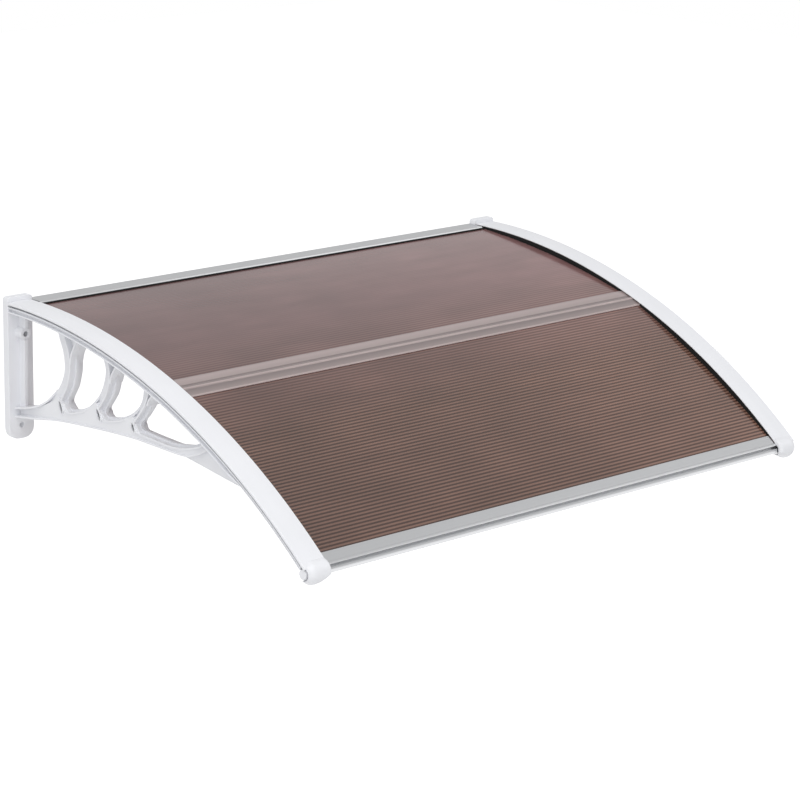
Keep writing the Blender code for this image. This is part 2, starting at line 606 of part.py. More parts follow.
def joint_profile():
    """One-piece profile with a slot for each sheet, its wings set to the slopes of the two sheets."""
    rear = REAR_END_FRAME.at
    front = FRONT_START_FRAME.at
    c = CLEARANCE
    wall = c + JOINT_WALL
    low = SHEET_THICKNESS + c
    wing = JOINT_WING
    half = JOINT_RIDGE_WIDTH / 2
    ridge = wall + JOINT_RIDGE_HEIGHT
    outline = [rear(-wing, wall), rear(-wing, c), rear(c, c), rear(c, -low), rear(-wing, -low),
               rear(-wing, -low - JOINT_WALL), rear(JOINT_HALF_GAP, -low - JOINT_WALL),
               front(wing, -low - JOINT_WALL), front(wing, -low), front(-c, -low), front(-c, c), front(wing, c),
               front(wing, wall), front(half, wall), front(half - 1 * MM, ridge), rear(1 * MM - half, ridge),
               rear(-half, wall)]
    return extruded("joint_profile", [outline], -SHEET_HALF_WIDTH, SHEET_HALF_WIDTH, CLEAR)


# Bars
def front_bar():
    """Bar with a slot for the front sheet and a round bead that reaches into the covers' bulbs."""
    at = FRONT_END_FRAME.at
    c = CLEARANCE
    wall = FRONT_WALL
    top = c + wall
    low = SHEET_THICKNESS + c
    lip = FRONT_FLANGE_LENGTH - FRONT_SLOT_END
    short = FRONT_LOWER_LENGTH - c
    neck_top = NOSE_FRAME.at(-BEAD_RADIUS * 0.4, BEAD_RADIUS * 0.8)
    neck_low = NOSE_FRAME.at(-BEAD_RADIUS * 0.8, -BEAD_RADIUS * 0.4)
    outline = [at(-lip, top), at(-lip, c), at(c, c), at(c, -low), at(-short, -low), at(-short, -low - wall),
               neck_low, NOSE_FRAME.at(0.0, 0.0), neck_top, at(3.5 * MM, top)]
    reach = COVER_INNER_X - CLEARANCE
    bar = extruded("front_bar", [outline], -reach, reach, ALUMINIUM)
    nose_u, nose_z = NOSE_CENTRE
    bead_reach = BRACKET_MIDDLE - CLEARANCE
    bead = cylinder("bead", BEAD_RADIUS, (-bead_reach, -nose_u, nose_z), (bead_reach, -nose_u, nose_z), ALONG_X,
                    ALUMINIUM)
    combine(bar, [bead], "UNION")
    return bar


def rear_bar():
    """Wall bar with a slot for the rear sheet, fitted between the wall plates."""
    start = REAR_BOW.at(0)
    slope = REAR_BOW.slope - REAR_BOW.half
    high = Frame(REAR_BOW.at(0, -CLEARANCE), slope).at
    low = Frame(REAR_BOW.at(0, SHEET_THICKNESS + CLEARANCE), slope).at
    stop = start[0] - CLEARANCE
    lip = REAR_LIP_REACH - start[0]
    flange = REAR_FLANGE_REACH - start[0]
    web = stop - REAR_WALL
    outline = [(0.0, REAR_TOP), (REAR_FLANGE_REACH, REAR_TOP), high(flange, 0.6 * MM), high(-CLEARANCE, 0.0),
               low(-CLEARANCE, 0.0), low(lip, -0.3 * MM), low(lip, -REAR_LIP_WALL), (web, low(0, -REAR_LIP_WALL)[1]),
               (web, REAR_TOP - REAR_WALL), (REAR_WALL, REAR_TOP - REAR_WALL),
               (REAR_WALL, REAR_TOP - REAR_BACK_HEIGHT), (0.0, REAR_TOP - REAR_BACK_HEIGHT)]
    reach = HALF_WIDTH - PLATE_WIDTH - CLEARANCE
    return extruded("rear_bar", [outline], -reach, reach, ALUMINIUM)


# Seals
def rear_seal():
    share = REAR_BOW.share_at(REAR_FLANGE_REACH + CLEARANCE - SHEET_REAR_U)
    near = REAR_BOW.at(share, -CLEARANCE)
    far = REAR_BOW.at(share + REAR_SEAL_WIDTH / REAR_BOW.length, -CLEARANCE)
    outline = [near, far, (far[0], REAR_TOP - 0.5 * MM), (near[0], REAR_TOP - 0.2 * MM)]
    reach = COVER_INNER_X - CLEARANCE
    return extruded("rear_seal", [outline], -reach, reach, RUBBER)


def side_seals(name, bow, first, last):
    """Tapered seals that fill the space between a sheet's side edges and the covers."""
    low = bow.line(-CLEARANCE, bow.share_at(first), bow.share_at(last))
    start, end = (arc_angle(low[i][0], COVER_UNDERSIDE) for i in (0, -1))
    outline = arc_line(COVER_UNDERSIDE - CLEARANCE, start, end) + low[::-1]
    inner = COVER_INNER_X + SEAL_INSET
    for side, edges in (("left", (-SHEET_HALF_WIDTH, -inner)), ("right", (inner, SHEET_HALF_WIDTH))):
        extruded(f"{name}_{side}", [outline], *edges, RUBBER)


bracket_left = left_bracket()
mirrored(bracket_left, "bracket_right", WHITE)
cover_left = left_cover()
mirrored(cover_left, "cover_right", WHITE)
twin_wall_sheet("rear_panel", REAR_BOW)
twin_wall_sheet("front_panel", FRONT_BOW)
joint_profile()
front_bar()
rear_bar()
rear_seal()
side_seals("rear_side_seal", REAR_BOW, REAR_FLANGE_REACH - SHEET_REAR_U, -(JOINT_WING + SEAL_END_GAP))
side_seals("front_side_seal", FRONT_BOW, JOINT_WING + SEAL_END_GAP, FRONT_SLOT_END - FRONT_FLANGE_LENGTH - SEAL_END_GAP)
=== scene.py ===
import math

import bmesh
import bpy
from mathutils import Matrix, Vector


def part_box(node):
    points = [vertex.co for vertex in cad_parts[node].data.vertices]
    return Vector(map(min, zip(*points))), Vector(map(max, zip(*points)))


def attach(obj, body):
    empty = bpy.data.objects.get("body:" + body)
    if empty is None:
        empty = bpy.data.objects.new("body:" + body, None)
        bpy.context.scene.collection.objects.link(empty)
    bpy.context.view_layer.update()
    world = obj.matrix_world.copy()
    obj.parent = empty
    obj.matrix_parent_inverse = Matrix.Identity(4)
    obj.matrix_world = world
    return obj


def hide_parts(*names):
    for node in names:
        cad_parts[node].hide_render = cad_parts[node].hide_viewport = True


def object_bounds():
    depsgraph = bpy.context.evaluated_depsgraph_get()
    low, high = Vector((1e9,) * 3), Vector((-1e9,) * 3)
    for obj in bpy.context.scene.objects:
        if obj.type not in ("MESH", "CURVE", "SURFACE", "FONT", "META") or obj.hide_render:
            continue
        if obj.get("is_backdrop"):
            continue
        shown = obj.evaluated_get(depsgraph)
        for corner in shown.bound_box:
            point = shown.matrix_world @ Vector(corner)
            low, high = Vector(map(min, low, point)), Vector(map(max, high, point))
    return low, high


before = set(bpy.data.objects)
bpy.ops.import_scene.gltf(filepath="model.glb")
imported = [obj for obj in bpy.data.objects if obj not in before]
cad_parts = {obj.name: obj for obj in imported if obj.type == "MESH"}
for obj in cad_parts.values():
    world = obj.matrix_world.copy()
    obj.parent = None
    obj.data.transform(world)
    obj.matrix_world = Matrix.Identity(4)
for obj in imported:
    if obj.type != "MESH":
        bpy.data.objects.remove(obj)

bl_info = {
    "name": "Polycarbonate Door Canopy",
    "version": (1, 0, 0),
    "blender": (4, 5, 0),
    "location": "3D View > Sidebar > Canopy",
    "description": "Builds a curved door canopy's finished pieces over its CAD model, in a white studio",
    "category": "Object",
}

MM = 0.001

# The side section: u is the distance out from the wall, z the height above the feet of the wall plates.
COVER_RADIUS = 1069.0 * MM
ARC_CENTRE = (33.2 * MM, -854.6 * MM)
NOSE_ANGLE = math.radians(38.78)
CLEARANCE = 0.3 * MM
HALF_WIDTH = 500.0 * MM
PLATE_WIDTH = 45.0 * MM
PLATE_THICKNESS = 13.3 * MM
PLATE_HEIGHT = 220.7 * MM
BRACKET_MIDDLE = HALF_WIDTH - PLATE_WIDTH / 2
BOSS_HEIGHT = 165.0 * MM
BOSS_REACH = 27.5 * MM
BOSS_RADIUS = 9.5 * MM
WALL_HOLE_RADIUS = 4.0 * MM
FOOT_HOLE_HEIGHT = 21.5 * MM
COVER_INNER_X = HALF_WIDTH - 41.2 * MM
COVER_UNDERSIDE = COVER_RADIUS - 2.5 * MM
BULB_RADIUS = 16.8 * MM
BULB_BORE_RADIUS = 9.2 * MM
BULB_CUT_DEPTH = 5.5 * MM
BULB_LIP_REACH = 4.5 * MM
BULB_DOME_LENGTH = 17.0 * MM
RAIL_TOP_RADIUS = COVER_RADIUS - 7.7 * MM
RAIL_LOW_RADIUS = RAIL_TOP_RADIUS - 9.3 * MM
RAIL_FRONT_RADIUS = RAIL_TOP_RADIUS - 4.6 * MM
RAIL_FRONT_START = 566.0 * MM
RAIL_OUTER_X = HALF_WIDTH - 1.5 * MM
RAIL_INNER_X = RAIL_OUTER_X - 42.0 * MM
RAIL_FOOT = 1.8 * MM
RAIL_TAPER = 45.0 * MM
RAIL_RECESS = 6.0 * MM
RAIL_TIP_GAP = 8.6 * MM
SCREW_OFFSET = 12.0 * MM
NOSE_RADIUS = 7.4 * MM
NOSE_ORBIT = COVER_RADIUS - 12.3 * MM
WEB_THICKNESS = 5.0 * MM
STRAP_WIDTH = 24.0 * MM
STRAP_THICKNESS = 3.0 * MM
SLIT_HALF_WIDTH = 3.0 * MM
SLIT_WALL = 1.8 * MM
SHEET_HALF_WIDTH = HALF_WIDTH - 29.5 * MM
SHEET_TOP_RADIUS = COVER_RADIUS - 5.3 * MM
SHEET_THICKNESS = 4.0 * MM
SHEET_SKIN = 0.5 * MM
SHEET_RIB = 0.45 * MM
SHEET_SAG = 5.2 * MM
SHEET_REAR_U = 16.0 * MM
JOINT_ANGLE = math.radians(18.9)
JOINT_WING = 22.0 * MM
JOINT_WALL = 1.3 * MM
JOINT_HALF_GAP = 1.0 * MM + CLEARANCE
FRONT_FLANGE_LENGTH = 21.5 * MM
FRONT_LOWER_LENGTH = 18.0 * MM
FRONT_WALL = 1.5 * MM
FRONT_SLOT_END = 8.0 * MM
FRONT_SHEET_LEVEL = 7.1 * MM
BEAD_RADIUS = 6.3 * MM
BEAD_COLLAR_RADIUS = 7.4 * MM
REAR_TOP = 212.4 * MM
REAR_BACK_HEIGHT = 28.0 * MM
REAR_FLANGE_REACH = 33.0 * MM
REAR_LIP_REACH = 28.0 * MM
REAR_WALL = 2.5 * MM
ORIGIN_HEIGHT = REAR_TOP - REAR_BACK_HEIGHT / 2
FLOOR_DROP = 0.85


def linear(code):
    """Linear colour of an sRGB hex value."""
    values = [int(code[i:i + 2], 16) / 255 for i in (1, 3, 5)]
    return tuple(v / 12.92 if v <= 0.04045 else ((v + 0.055) / 1.055) ** 2.4 for v in values)


# Section geometry
def on_arc(radius, angle):
    return (ARC_CENTRE[0] + radius * math.sin(angle), ARC_CENTRE[1] + radius * math.cos(angle))


def arc_angle(u, radius):
    return math.asin((u - ARC_CENTRE[0]) / radius)


def spread(start, end, steps):
    return [start + (end - start) * i / steps for i in range(steps + 1)]


def arc_line(radius, start, end, steps=48):
    return [on_arc(radius, angle) for angle in spread(start, end, steps)]


def smooth_line(points, steps=6):
    """Even curve through the points, with steps between each pair of them."""
    ends = [points[0]] + list(points) + [points[-1]]
    line = []
    for a, b, c, d in zip(ends, ends[1:], ends[2:], ends[3:]):
        for i in range(steps):
            s = i / steps
            line.append(tuple(
                0.5 * (2 * q + (r - p) * s + (2 * p - 5 * q + 4 * r - t) * s * s
                       + (3 * q - p - 3 * r + t) * s ** 3)
                for p, q, r, t in zip(a, b, c, d)))
    line.append(tuple(points[-1]))
    return line


def in_mm(points):
    return [tuple(value * MM for value in point) for point in points]


def rounded(corners, radius, steps=3):
    """Closed outline with rounded corners; a corner's third value is a radius of its own."""
    outline = []
    for i, corner in enumerate(corners):
        here = Vector(corner[:2])
        to_last = Vector(corners[i - 1][:2]) - here
        to_next = Vector(corners[(i + 1) % len(corners)][:2]) - here
        reach = corner[2] if len(corner) > 2 else radius
        reach = min(reach, to_last.length * 0.45, to_next.length * 0.45)
        if reach <= 0:
            outline.append(tuple(here))
            continue
        back = to_last.normalized() * reach
        onward = to_next.normalized() * reach
        for share in spread(0, 1, steps):
            outline.append(tuple(here + back * (1 - share) ** 2 + onward * share ** 2))
    return outline


class Axes:
    """Local axes in the section: t runs down the slope, away from the wall, and n points up and out."""

    def __init__(self, origin, slope):
        self.origin = origin
        self.t_axis = (math.cos(slope), -math.sin(slope))
        self.n_axis = (math.sin(slope), math.cos(slope))

    def at(self, t, n):
        return tuple(o + t * a + n * b for o, a, b in zip(self.origin, self.t_axis, self.n_axis))


class Bow:
    """Flat arc of a sheet's upper face between two end points, a sag below the covers' arc in its middle."""

    def __init__(self, start, end):
        chord = math.dist(start, end)
        rise = SHEET_TOP_RADIUS - math.sqrt(SHEET_TOP_RADIUS ** 2 - chord * chord / 4) - SHEET_SAG
        self.radius = chord * chord / (8 * rise) + rise / 2
        self.half = math.asin(chord / 2 / self.radius)
        self.slope = math.atan2(start[1] - end[1], end[0] - start[0])
        self.length = 2 * self.half * self.radius
        self.centre = Axes(start, self.slope).at(chord / 2, rise - self.radius)

    def at(self, distance, depth=0.0):
        angle = self.slope - self.half + 2 * self.half * distance / self.length
        radius = self.radius - depth
        return (self.centre[0] + radius * math.sin(angle), self.centre[1] + radius * math.cos(angle))

    def line(self, depth, start, end, steps=32):
        return [self.at(distance, depth) for distance in spread(start, end, steps)]


NOSE_CENTRE = on_arc(NOSE_ORBIT, NOSE_ANGLE)
NOSE_AXES = Axes(NOSE_CENTRE, NOSE_ANGLE)
REAR_BOW = Bow(on_arc(SHEET_TOP_RADIUS, arc_angle(SHEET_REAR_U, SHEET_TOP_RADIUS)),
               on_arc(SHEET_TOP_RADIUS, JOINT_ANGLE - JOINT_HALF_GAP / SHEET_TOP_RADIUS))
FRONT_BOW = Bow(on_arc(SHEET_TOP_RADIUS, JOINT_ANGLE + JOINT_HALF_GAP / SHEET_TOP_RADIUS),
                NOSE_AXES.at(-FRONT_SLOT_END, FRONT_SHEET_LEVEL))
REAR_END = Axes(REAR_BOW.at(REAR_BOW.length), REAR_BOW.slope + REAR_BOW.half)
FRONT_START = Axes(FRONT_BOW.at(0), FRONT_BOW.slope - FRONT_BOW.half)
FRONT_END = Axes(FRONT_BOW.at(FRONT_BOW.length), FRONT_BOW.slope + FRONT_BOW.half)


# Meshes
def spot(x, point):
    """Place in the row frame of a section point at x."""
    return (x, -point[0], point[1] - ORIGIN_HEIGHT)


def new_part(name, work):
    bmesh.ops.recalc_face_normals(work, faces=work.faces)
    mesh = bpy.data.meshes.new(name)
    work.to_mesh(mesh)
    work.free()
    part = bpy.data.objects.new(name, mesh)
    bpy.context.scene.collection.objects.link(part)
    return part


def skinned(name, rings):
    """Closed body through rings of points, with flat ends."""
    work = bmesh.new()
    made = [[work.verts.new(point) for point in ring] for ring in rings]
    for ring, following in zip(made, made[1:]):
        for i, vertex in enumerate(ring):
            j = (i + 1) % len(ring)
            work.faces.new((vertex, ring[j], following[j], following[i]))
    work.faces.new(made[0])
    work.faces.new(made[-1])
    return new_part(name, work)


def extruded(name, outline, x_low, x_high):
    return skinned(name, [[spot(x, point) for point in outline] for x in (x_low, x_high)])


def along_arc(name, section, start, end, steps=60):
    """Section of x and radius, carried along the covers' arc."""
    return skinned(name, [[spot(x, on_arc(radius, angle)) for x, radius in section]
                          for angle in spread(start, end, steps)])


def turned(name, profile, origin, axis, segments=48):
    """Turned body: each point of the profile is a distance along the axis and a radius."""
    turn = Vector(axis).to_track_quat("Z", "Y").to_matrix().to_4x4()
    place = Matrix.Translation(origin) @ turn
    rings = []
    for height, radius in profile:
        rings.append([place @ Vector((radius * math.cos(a), radius * math.sin(a), height))
                      for a in (math.tau * i / segments for i in range(segments))])
    return skinned(name, rings)


def pierced(name, loops, x_low, x_high):
    """Flat outline with holes, extruded along X."""
    curve = bpy.data.curves.new(name, "CURVE")
    curve.dimensions = "2D"
    curve.fill_mode = "BOTH"
    curve.extrude = (x_high - x_low) / 2
    for loop in loops:
        spline = curve.splines.new("POLY")
        spline.points.add(len(loop) - 1)
        for point, (u, z) in zip(spline.points, loop):
            point.co = (u, z - ORIGIN_HEIGHT, 0.0, 1.0)
        spline.use_cyclic_u = True
    drawn = bpy.data.objects.new(name, curve)
    bpy.context.scene.collection.objects.link(drawn)
    bpy.context.view_layer.update()
    mesh = bpy.data.meshes.new_from_object(drawn.evaluated_get(bpy.context.evaluated_depsgraph_get()))
    mesh.transform(Matrix.Translation(((x_low + x_high) / 2, 0.0, 0.0))
                   @ Matrix.Rotation(-math.pi / 2, 4, "Z") @ Matrix.Rotation(math.pi / 2, 4, "X"))
    bpy.data.objects.remove(drawn)
    bpy.data.curves.remove(curve)
    work = bmesh.new()
    work.from_mesh(mesh)
    bpy.data.meshes.remove(mesh)
    bmesh.ops.remove_doubles(work, verts=work.verts, dist=0.01 * MM)
    return new_part(name, work)


def cut(part, tools):
    """Take the tools' room out of the part."""
    for tool in tools:
        modifier = part.modifiers.new("cut", "BOOLEAN")
        modifier.operation = "DIFFERENCE"
        modifier.solver = "EXACT"
        modifier.object = tool
        part["tools"] = [*part.get("tools", []), tool.name]
    return part


def soften(part, width, angle=40, segments=3):
    """Round the part's edges as a mould does."""
    bevel = part.modifiers.new("soften", "BEVEL")
    bevel.width = width
    bevel.segments = segments
    bevel.limit_method = "ANGLE"
    bevel.angle_limit = math.radians(angle)
    bevel.harden_normals = False
    return part


def join_parts(parts):
    """One bmesh from the parts with their modifiers applied; the parts and their tools are removed."""
    bpy.context.view_layer.update()
    graph = bpy.context.evaluated_depsgraph_get()
    work = bmesh.new()
    for part in parts:
        shaped = part.evaluated_get(graph)
        work.from_mesh(shaped.to_mesh())
        shaped.to_mesh_clear()
    spent = {name for part in parts for name in part.get("tools", [])} | {part.name for part in parts}
    for name in spent:
        bpy.data.objects.remove(bpy.data.objects[name], do_unlink=True)
    return work


def dress(name, mesh, painter, nodes, sharp=32):
    """Object of the finished mesh, in the place of the CAD nodes."""
    if not mesh.polygons:
        raise RuntimeError(f"{name} came out empty")
    mesh.shade_smooth()
    mesh.set_sharp_from_angle(angle=math.radians(sharp))
    mesh.materials.append(painted(painter))
    piece = bpy.data.objects.new(name, mesh)
    bpy.context.scene.collection.objects.link(piece)
    even = piece.modifiers.new("even_shading", "WEIGHTED_NORMAL")
    even.keep_sharp = True
    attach(piece, "root")
    if nodes:
        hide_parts(*nodes)
    return piece


def finish_piece(name, parts, painter, slot, *nodes):
    mesh = bpy.data.meshes.new(name)
    work = join_parts(parts)
    work.to_mesh(mesh)
    work.free()
    return dress(name, mesh, painter, nodes)


def finish_pair(name, parts, painter, slot, node):
    """The left-hand piece and its mirror image, in the place of node_left and node_right."""
    left = finish_piece(f"{name}_left", parts, painter, slot, f"{node}_left")
    mesh = left.data.copy()
    mesh.name = f"{name}_right"
    mesh.transform(Matrix.Scale(-1, 4, (1, 0, 0)))
    mesh.flip_normals()
    mesh.materials.clear()
    return left, dress(f"{name}_right", mesh, painter, [f"{node}_right"])


# Sizes and colours
def extent(name, description, value, low, high):
    """Length property; the value and its limits are in millimetres."""
    return bpy.props.FloatProperty(name=name, description=description, default=value * MM, min=low * MM,
                                   max=high * MM, subtype="DISTANCE", unit="LENGTH")


def tint(name, description, code):
    """Colour property with an sRGB hex value as its default."""
    return bpy.props.FloatVectorProperty(name=name, description=description, default=linear(code),
                                         subtype="COLOR", min=0.0, max=1.0)


class CanopySizes(bpy.types.PropertyGroup):
    cover_rounding: extent("Cover rounding", "Rounding of the covers' long edges", 1.4, 0.2, 2.2)
    cover_crown: extent("Cover crown", "Height of the covers' middle over their long edges", 1.0, 0.0, 1.2)
    strap_rounding: extent("Strap rounding", "Rounding of the brackets' straps and flanges", 0.8, 0.1, 1.4)
    sheet_pitch: extent("Sheet pitch", "Distance between the ribs inside the sheets", 6.0, 4.0, 12.0)
    sheet_relief: extent("Sheet relief", "How far the sheets' skins sink between two ribs", 0.05, 0.0, 0.2)
    screws: bpy.props.IntProperty(name="Cover screws", default=5, min=2, max=9,
                                  description="Screws that draw each cover down onto its bracket")


class CanopyColours(bpy.types.PropertyGroup):
    white: tint("Mouldings", "Colour of the brackets and covers", "#eeeff3")
    # Painted highlight: the sheets' lit colour over a rib.
    bronze_light: tint("Sheets, over ribs", "Colour of the sheets where a rib stands", "#866659")
    # Painted sheen: the sheets' plain colour near the wall, standing in for the glancing reflection that
    # hides the ribs.
    bronze_far: tint("Sheets, at the wall", "Colour of the sheets where no rib shows", "#7e5e5e")
    # Painted shade: the sheets' shaded colour over a hollow cell.
    bronze_dark: tint("Sheets, between ribs", "Colour of the sheets over a hollow cell", "#4a322a")
    clear: tint("Joint profile", "Colour of the clear joint profile", "#e2cfcd")
    aluminium: tint("Bars", "Colour of the anodised bars", "#d5d6d8")
    rubber: tint("Seals", "Colour of the rubber seals", "#050505")


# Materials
def add(tree, kind, settings=None, links=None, **options):
    """Add a node with its options, the values of its sockets and the sockets that feed it."""
    node = tree.nodes.new(kind)
    for name, value in options.items():
        setattr(node, name, value)
    for socket, value in (settings or {}).items():
        node.inputs[socket].default_value = value
    for socket, source in (links or {}).items():
        tree.links.new(source, node.inputs[socket])
    return node


def painted(painter):
    """The material that the painter draws, made when it is first asked for."""
    material = bpy.data.materials.get(painter.__name__)
    if not material:
        material = bpy.data.materials.new(painter.__name__)
        material.use_nodes = True
        tree = material.node_tree
        place = add(tree, "ShaderNodeTexCoord").outputs
        painter(tree, tree.nodes["Principled BSDF"], place, bpy.context.scene.canopy_colours)
    return material


def set_shader(shader, **values):
    for name, value in values.items():
        shader.inputs[name.replace("_", " ")].default_value = value


def moulded_white_pvc(tree, shader, place, colours):
    """White PVC, injection moulded: an even satin white with a very fine spark-eroded grain."""
    colour = colours.white
    # Flow clouds of about 60 mm, a few levels darker than the rest.
    flow = add(tree, "ShaderNodeTexNoise", {"Scale": 16.0, "Detail": 3.0}, {"Vector": place["Object"]})
    shade = add(tree, "ShaderNodeMix", {6: (*(c * 0.95 for c in colour), 1), 7: (*colour, 1)},
                {0: flow.outputs["Fac"]}, data_type="RGBA")
    # The mould's grain is about 0.3 mm; it is drawn at 1.2 mm, the finest that shows.
    grain = add(tree, "ShaderNodeTexNoise", {"Scale": 800.0, "Detail": 2.0}, {"Vector": place["Object"]})
    bump = add(tree, "ShaderNodeBump", {"Strength": 0.12, "Distance": 0.1 * MM},
               {"Height": grain.outputs["Fac"]})
    tree.links.new(shade.outputs[2], shader.inputs["Base Color"])
    tree.links.new(bump.outputs["Normal"], shader.inputs["Normal"])
    set_shader(shader, Roughness=0.34, IOR=1.53)


def bronze_twin_wall_polycarbonate(tree, shader, place, colours):
    """Bronze-tinted polycarbonate, extruded as twin-wall sheet: glossy, with light and dark lines over its
    ribs and cells that are partly painted highlight and painted shade, and a painted sheen near the wall.
    """
    cell = add(tree, "ShaderNodeSeparateXYZ", None, {0: place["UV"]})
    # One unit of the map's U is one 6 mm cell, and a rib stands at each whole number. The lines are partly
    # the sheet's own ribs showing and partly painted light: a painted highlight over each rib and painted
    # shade over each hollow cell.
    phase = add(tree, "ShaderNodeMath", {1: math.tau}, {0: cell.outputs["X"]}, operation="MULTIPLY")
    wave = add(tree, "ShaderNodeMath", None, {0: phase.outputs[0]}, operation="COSINE")
    sharp = add(tree, "ShaderNodeMapRange", {"From Min": -0.75, "From Max": 0.85}, {"Value": wave.outputs[0]},
                interpolation_type="SMOOTHSTEP")
    # Painted sheen: the ribs hardly show in the rear sheet, which takes a plain mauve colour standing in for
    # the glancing reflection there, and they come out towards the front bar.
    strength = add(tree, "ShaderNodeMapRange",
                   {"From Min": 40.0, "From Max": 82.0, "To Min": 0.08, "To Max": 1.0},
                   {"Value": cell.outputs["X"]})
    # Die lines that run with the ribs, about 40 mm apart, and clouds of about 150 mm; the clouds are painted
    # sheen, patches lighter and darker as an uneven reflection makes them.
    along = add(tree, "ShaderNodeMapping", {"Scale": (0.15, 6.0, 1.0)}, {"Vector": place["UV"]})
    die_lines = add(tree, "ShaderNodeTexNoise", {"Scale": 1.0, "Detail": 4.0}, {"Vector": along.outputs[0]})
    clouds = add(tree, "ShaderNodeTexNoise", {"Scale": 6.0, "Detail": 2.0}, {"Vector": place["Object"]})
    both = add(tree, "ShaderNodeMath", None, {0: die_lines.outputs["Fac"], 1: clouds.outputs["Fac"]},
               operation="MULTIPLY")
    # Real die lines together with painted sheen in the clouds.
    die_lines_and_sheen = add(tree, "ShaderNodeMapRange", {"From Min": 0.1, "From Max": 0.45, "To Min": 0.8, "To Max": 1.15},
               {"Value": both.outputs[0]})
    # Painted light: the lit colour over the ribs and the shaded colour over the cells.
    lines = add(tree, "ShaderNodeMix", {6: (*colours.bronze_dark, 1), 7: (*colours.bronze_light, 1)},
                {0: sharp.outputs[0]}, data_type="RGBA")
    # Painted sheen near the wall, fading into the rib lines towards the front.
    shown = add(tree, "ShaderNodeMix", {6: (*colours.bronze_far, 1)},
                {0: strength.outputs[0], 7: lines.outputs[2]}, data_type="RGBA")
    # More light comes through from below on the right.
    through = add(tree, "ShaderNodeMapRange",
                  {"From Min": -0.2, "From Max": 0.4, "To Min": 0.94, "To Max": 1.34},
                  {"Value": cell.outputs["Y"]})
    level = add(tree, "ShaderNodeMath", None, {0: die_lines_and_sheen.outputs[0], 1: through.outputs[0]},
                operation="MULTIPLY")
    toned = add(tree, "ShaderNodeVectorMath", None, {0: shown.outputs[2], 3: level.outputs[0]},
                operation="SCALE")
    tree.links.new(toned.outputs[0], shader.inputs["Base Color"])
    set_shader(shader, Roughness=0.16, IOR=1.585, Transmission_Weight=0.15)


def clear_extruded_polycarbonate(tree, shader, place, colours):
    """Clear polycarbonate, extruded: a thick glassy profile that takes the colour of the sheets under it."""
    colour = colours.clear
    # Bands across the profile: partly the glassy walls, thin on the wings and thick at the groove and the
    # ridge, and partly painted light, with a painted highlight along the ridge and the front edge and a
    # painted dark line of shade in the groove.
    depth = add(tree, "ShaderNodeSeparateXYZ", None, {0: place["Object"]})
    middle = on_arc(SHEET_TOP_RADIUS, JOINT_ANGLE)[0]
    across = add(tree, "ShaderNodeMapRange",
                 {"From Min": -middle + JOINT_WING, "From Max": -middle - JOINT_WING},
                 {"Value": depth.outputs["Y"]})
    # Painted highlight and painted shade across the profile, together with the glass's thickness.
    glass_and_light_bands = add(tree, "ShaderNodeValToRGB", None, {0: across.outputs[0]})
    glass_and_light_stops = ((0.0, 0.95), (0.10, 1.12), (0.37, 1.0), (0.42, 0.5), (0.45, 0.8), (0.52, 0.72), (0.56, 1.25),
             (0.60, 1.25), (0.66, 0.6), (0.92, 0.85), (0.96, 1.25), (1.0, 1.25))
    for position, level in glass_and_light_stops:
        stop = glass_and_light_bands.color_ramp.elements.new(position)
        stop.color = (level / 1.25, level / 1.25, level / 1.25, 1.0)
    # Draw lines run along the profile, under a millimetre apart.
    along = add(tree, "ShaderNodeMapping", {"Scale": (3.0, 1200.0, 1200.0)}, {"Vector": place["Object"]})
    draw = add(tree, "ShaderNodeTexNoise", {"Scale": 1.0, "Detail": 2.0}, {"Vector": along.outputs[0]})
    shade = add(tree, "ShaderNodeMix", {6: (*(c * 0.88 for c in colour), 1), 7: (*colour, 1)},
                {0: draw.outputs["Fac"]}, data_type="RGBA")
    banded = add(tree, "ShaderNodeMix", {0: 1.0}, {6: shade.outputs[2], 7: glass_and_light_bands.outputs[0]},
                 data_type="RGBA", blend_type="MULTIPLY")
    tree.links.new(banded.outputs[2], shader.inputs["Base Color"])
    set_shader(shader, Roughness=0.12, IOR=1.585, Transmission_Weight=0.45)


def satin_anodised_aluminium(tree, shader, place, colours):
    """Aluminium, extruded and satin anodised: a soft silver with fine draw lines along the bar."""
    colour = colours.aluminium
    # Die lines are finer than 0.1 mm; they are drawn at about 1 mm.
    along = add(tree, "ShaderNodeMapping", {"Scale": (2.0, 900.0, 900.0)}, {"Vector": place["Object"]})
    draw = add(tree, "ShaderNodeTexNoise", {"Scale": 1.0, "Detail": 3.0}, {"Vector": along.outputs[0]})
    shade = add(tree, "ShaderNodeMix", {6: (*(c * 0.9 for c in colour), 1), 7: (*colour, 1)},
                {0: draw.outputs["Fac"]}, data_type="RGBA")
    bump = add(tree, "ShaderNodeBump", {"Strength": 0.15, "Distance": 0.1 * MM},
               {"Height": draw.outputs["Fac"]})
    tree.links.new(shade.outputs[2], shader.inputs["Base Color"])
    tree.links.new(bump.outputs["Normal"], shader.inputs["Normal"])
    set_shader(shader, Metallic=1.0, Roughness=0.32)


def extruded_epdm_rubber(tree, shader, place, colours):
    """EPDM rubber, extruded: a dull black that swallows most light."""
    colour = colours.rubber
    # Chalky bloom in patches of about 10 mm.
    bloom = add(tree, "ShaderNodeTexNoise", {"Scale": 100.0, "Detail": 3.0}, {"Vector": place["Object"]})
    shade = add(tree, "ShaderNodeMix", {6: (*colour, 1), 7: (*(c * 1.8 for c in colour), 1)},
                {0: bloom.outputs["Fac"]}, data_type="RGBA")
    tree.links.new(shade.outputs[2], shader.inputs["Base Color"])
    set_shader(shader, Roughness=0.85, IOR=1.52)


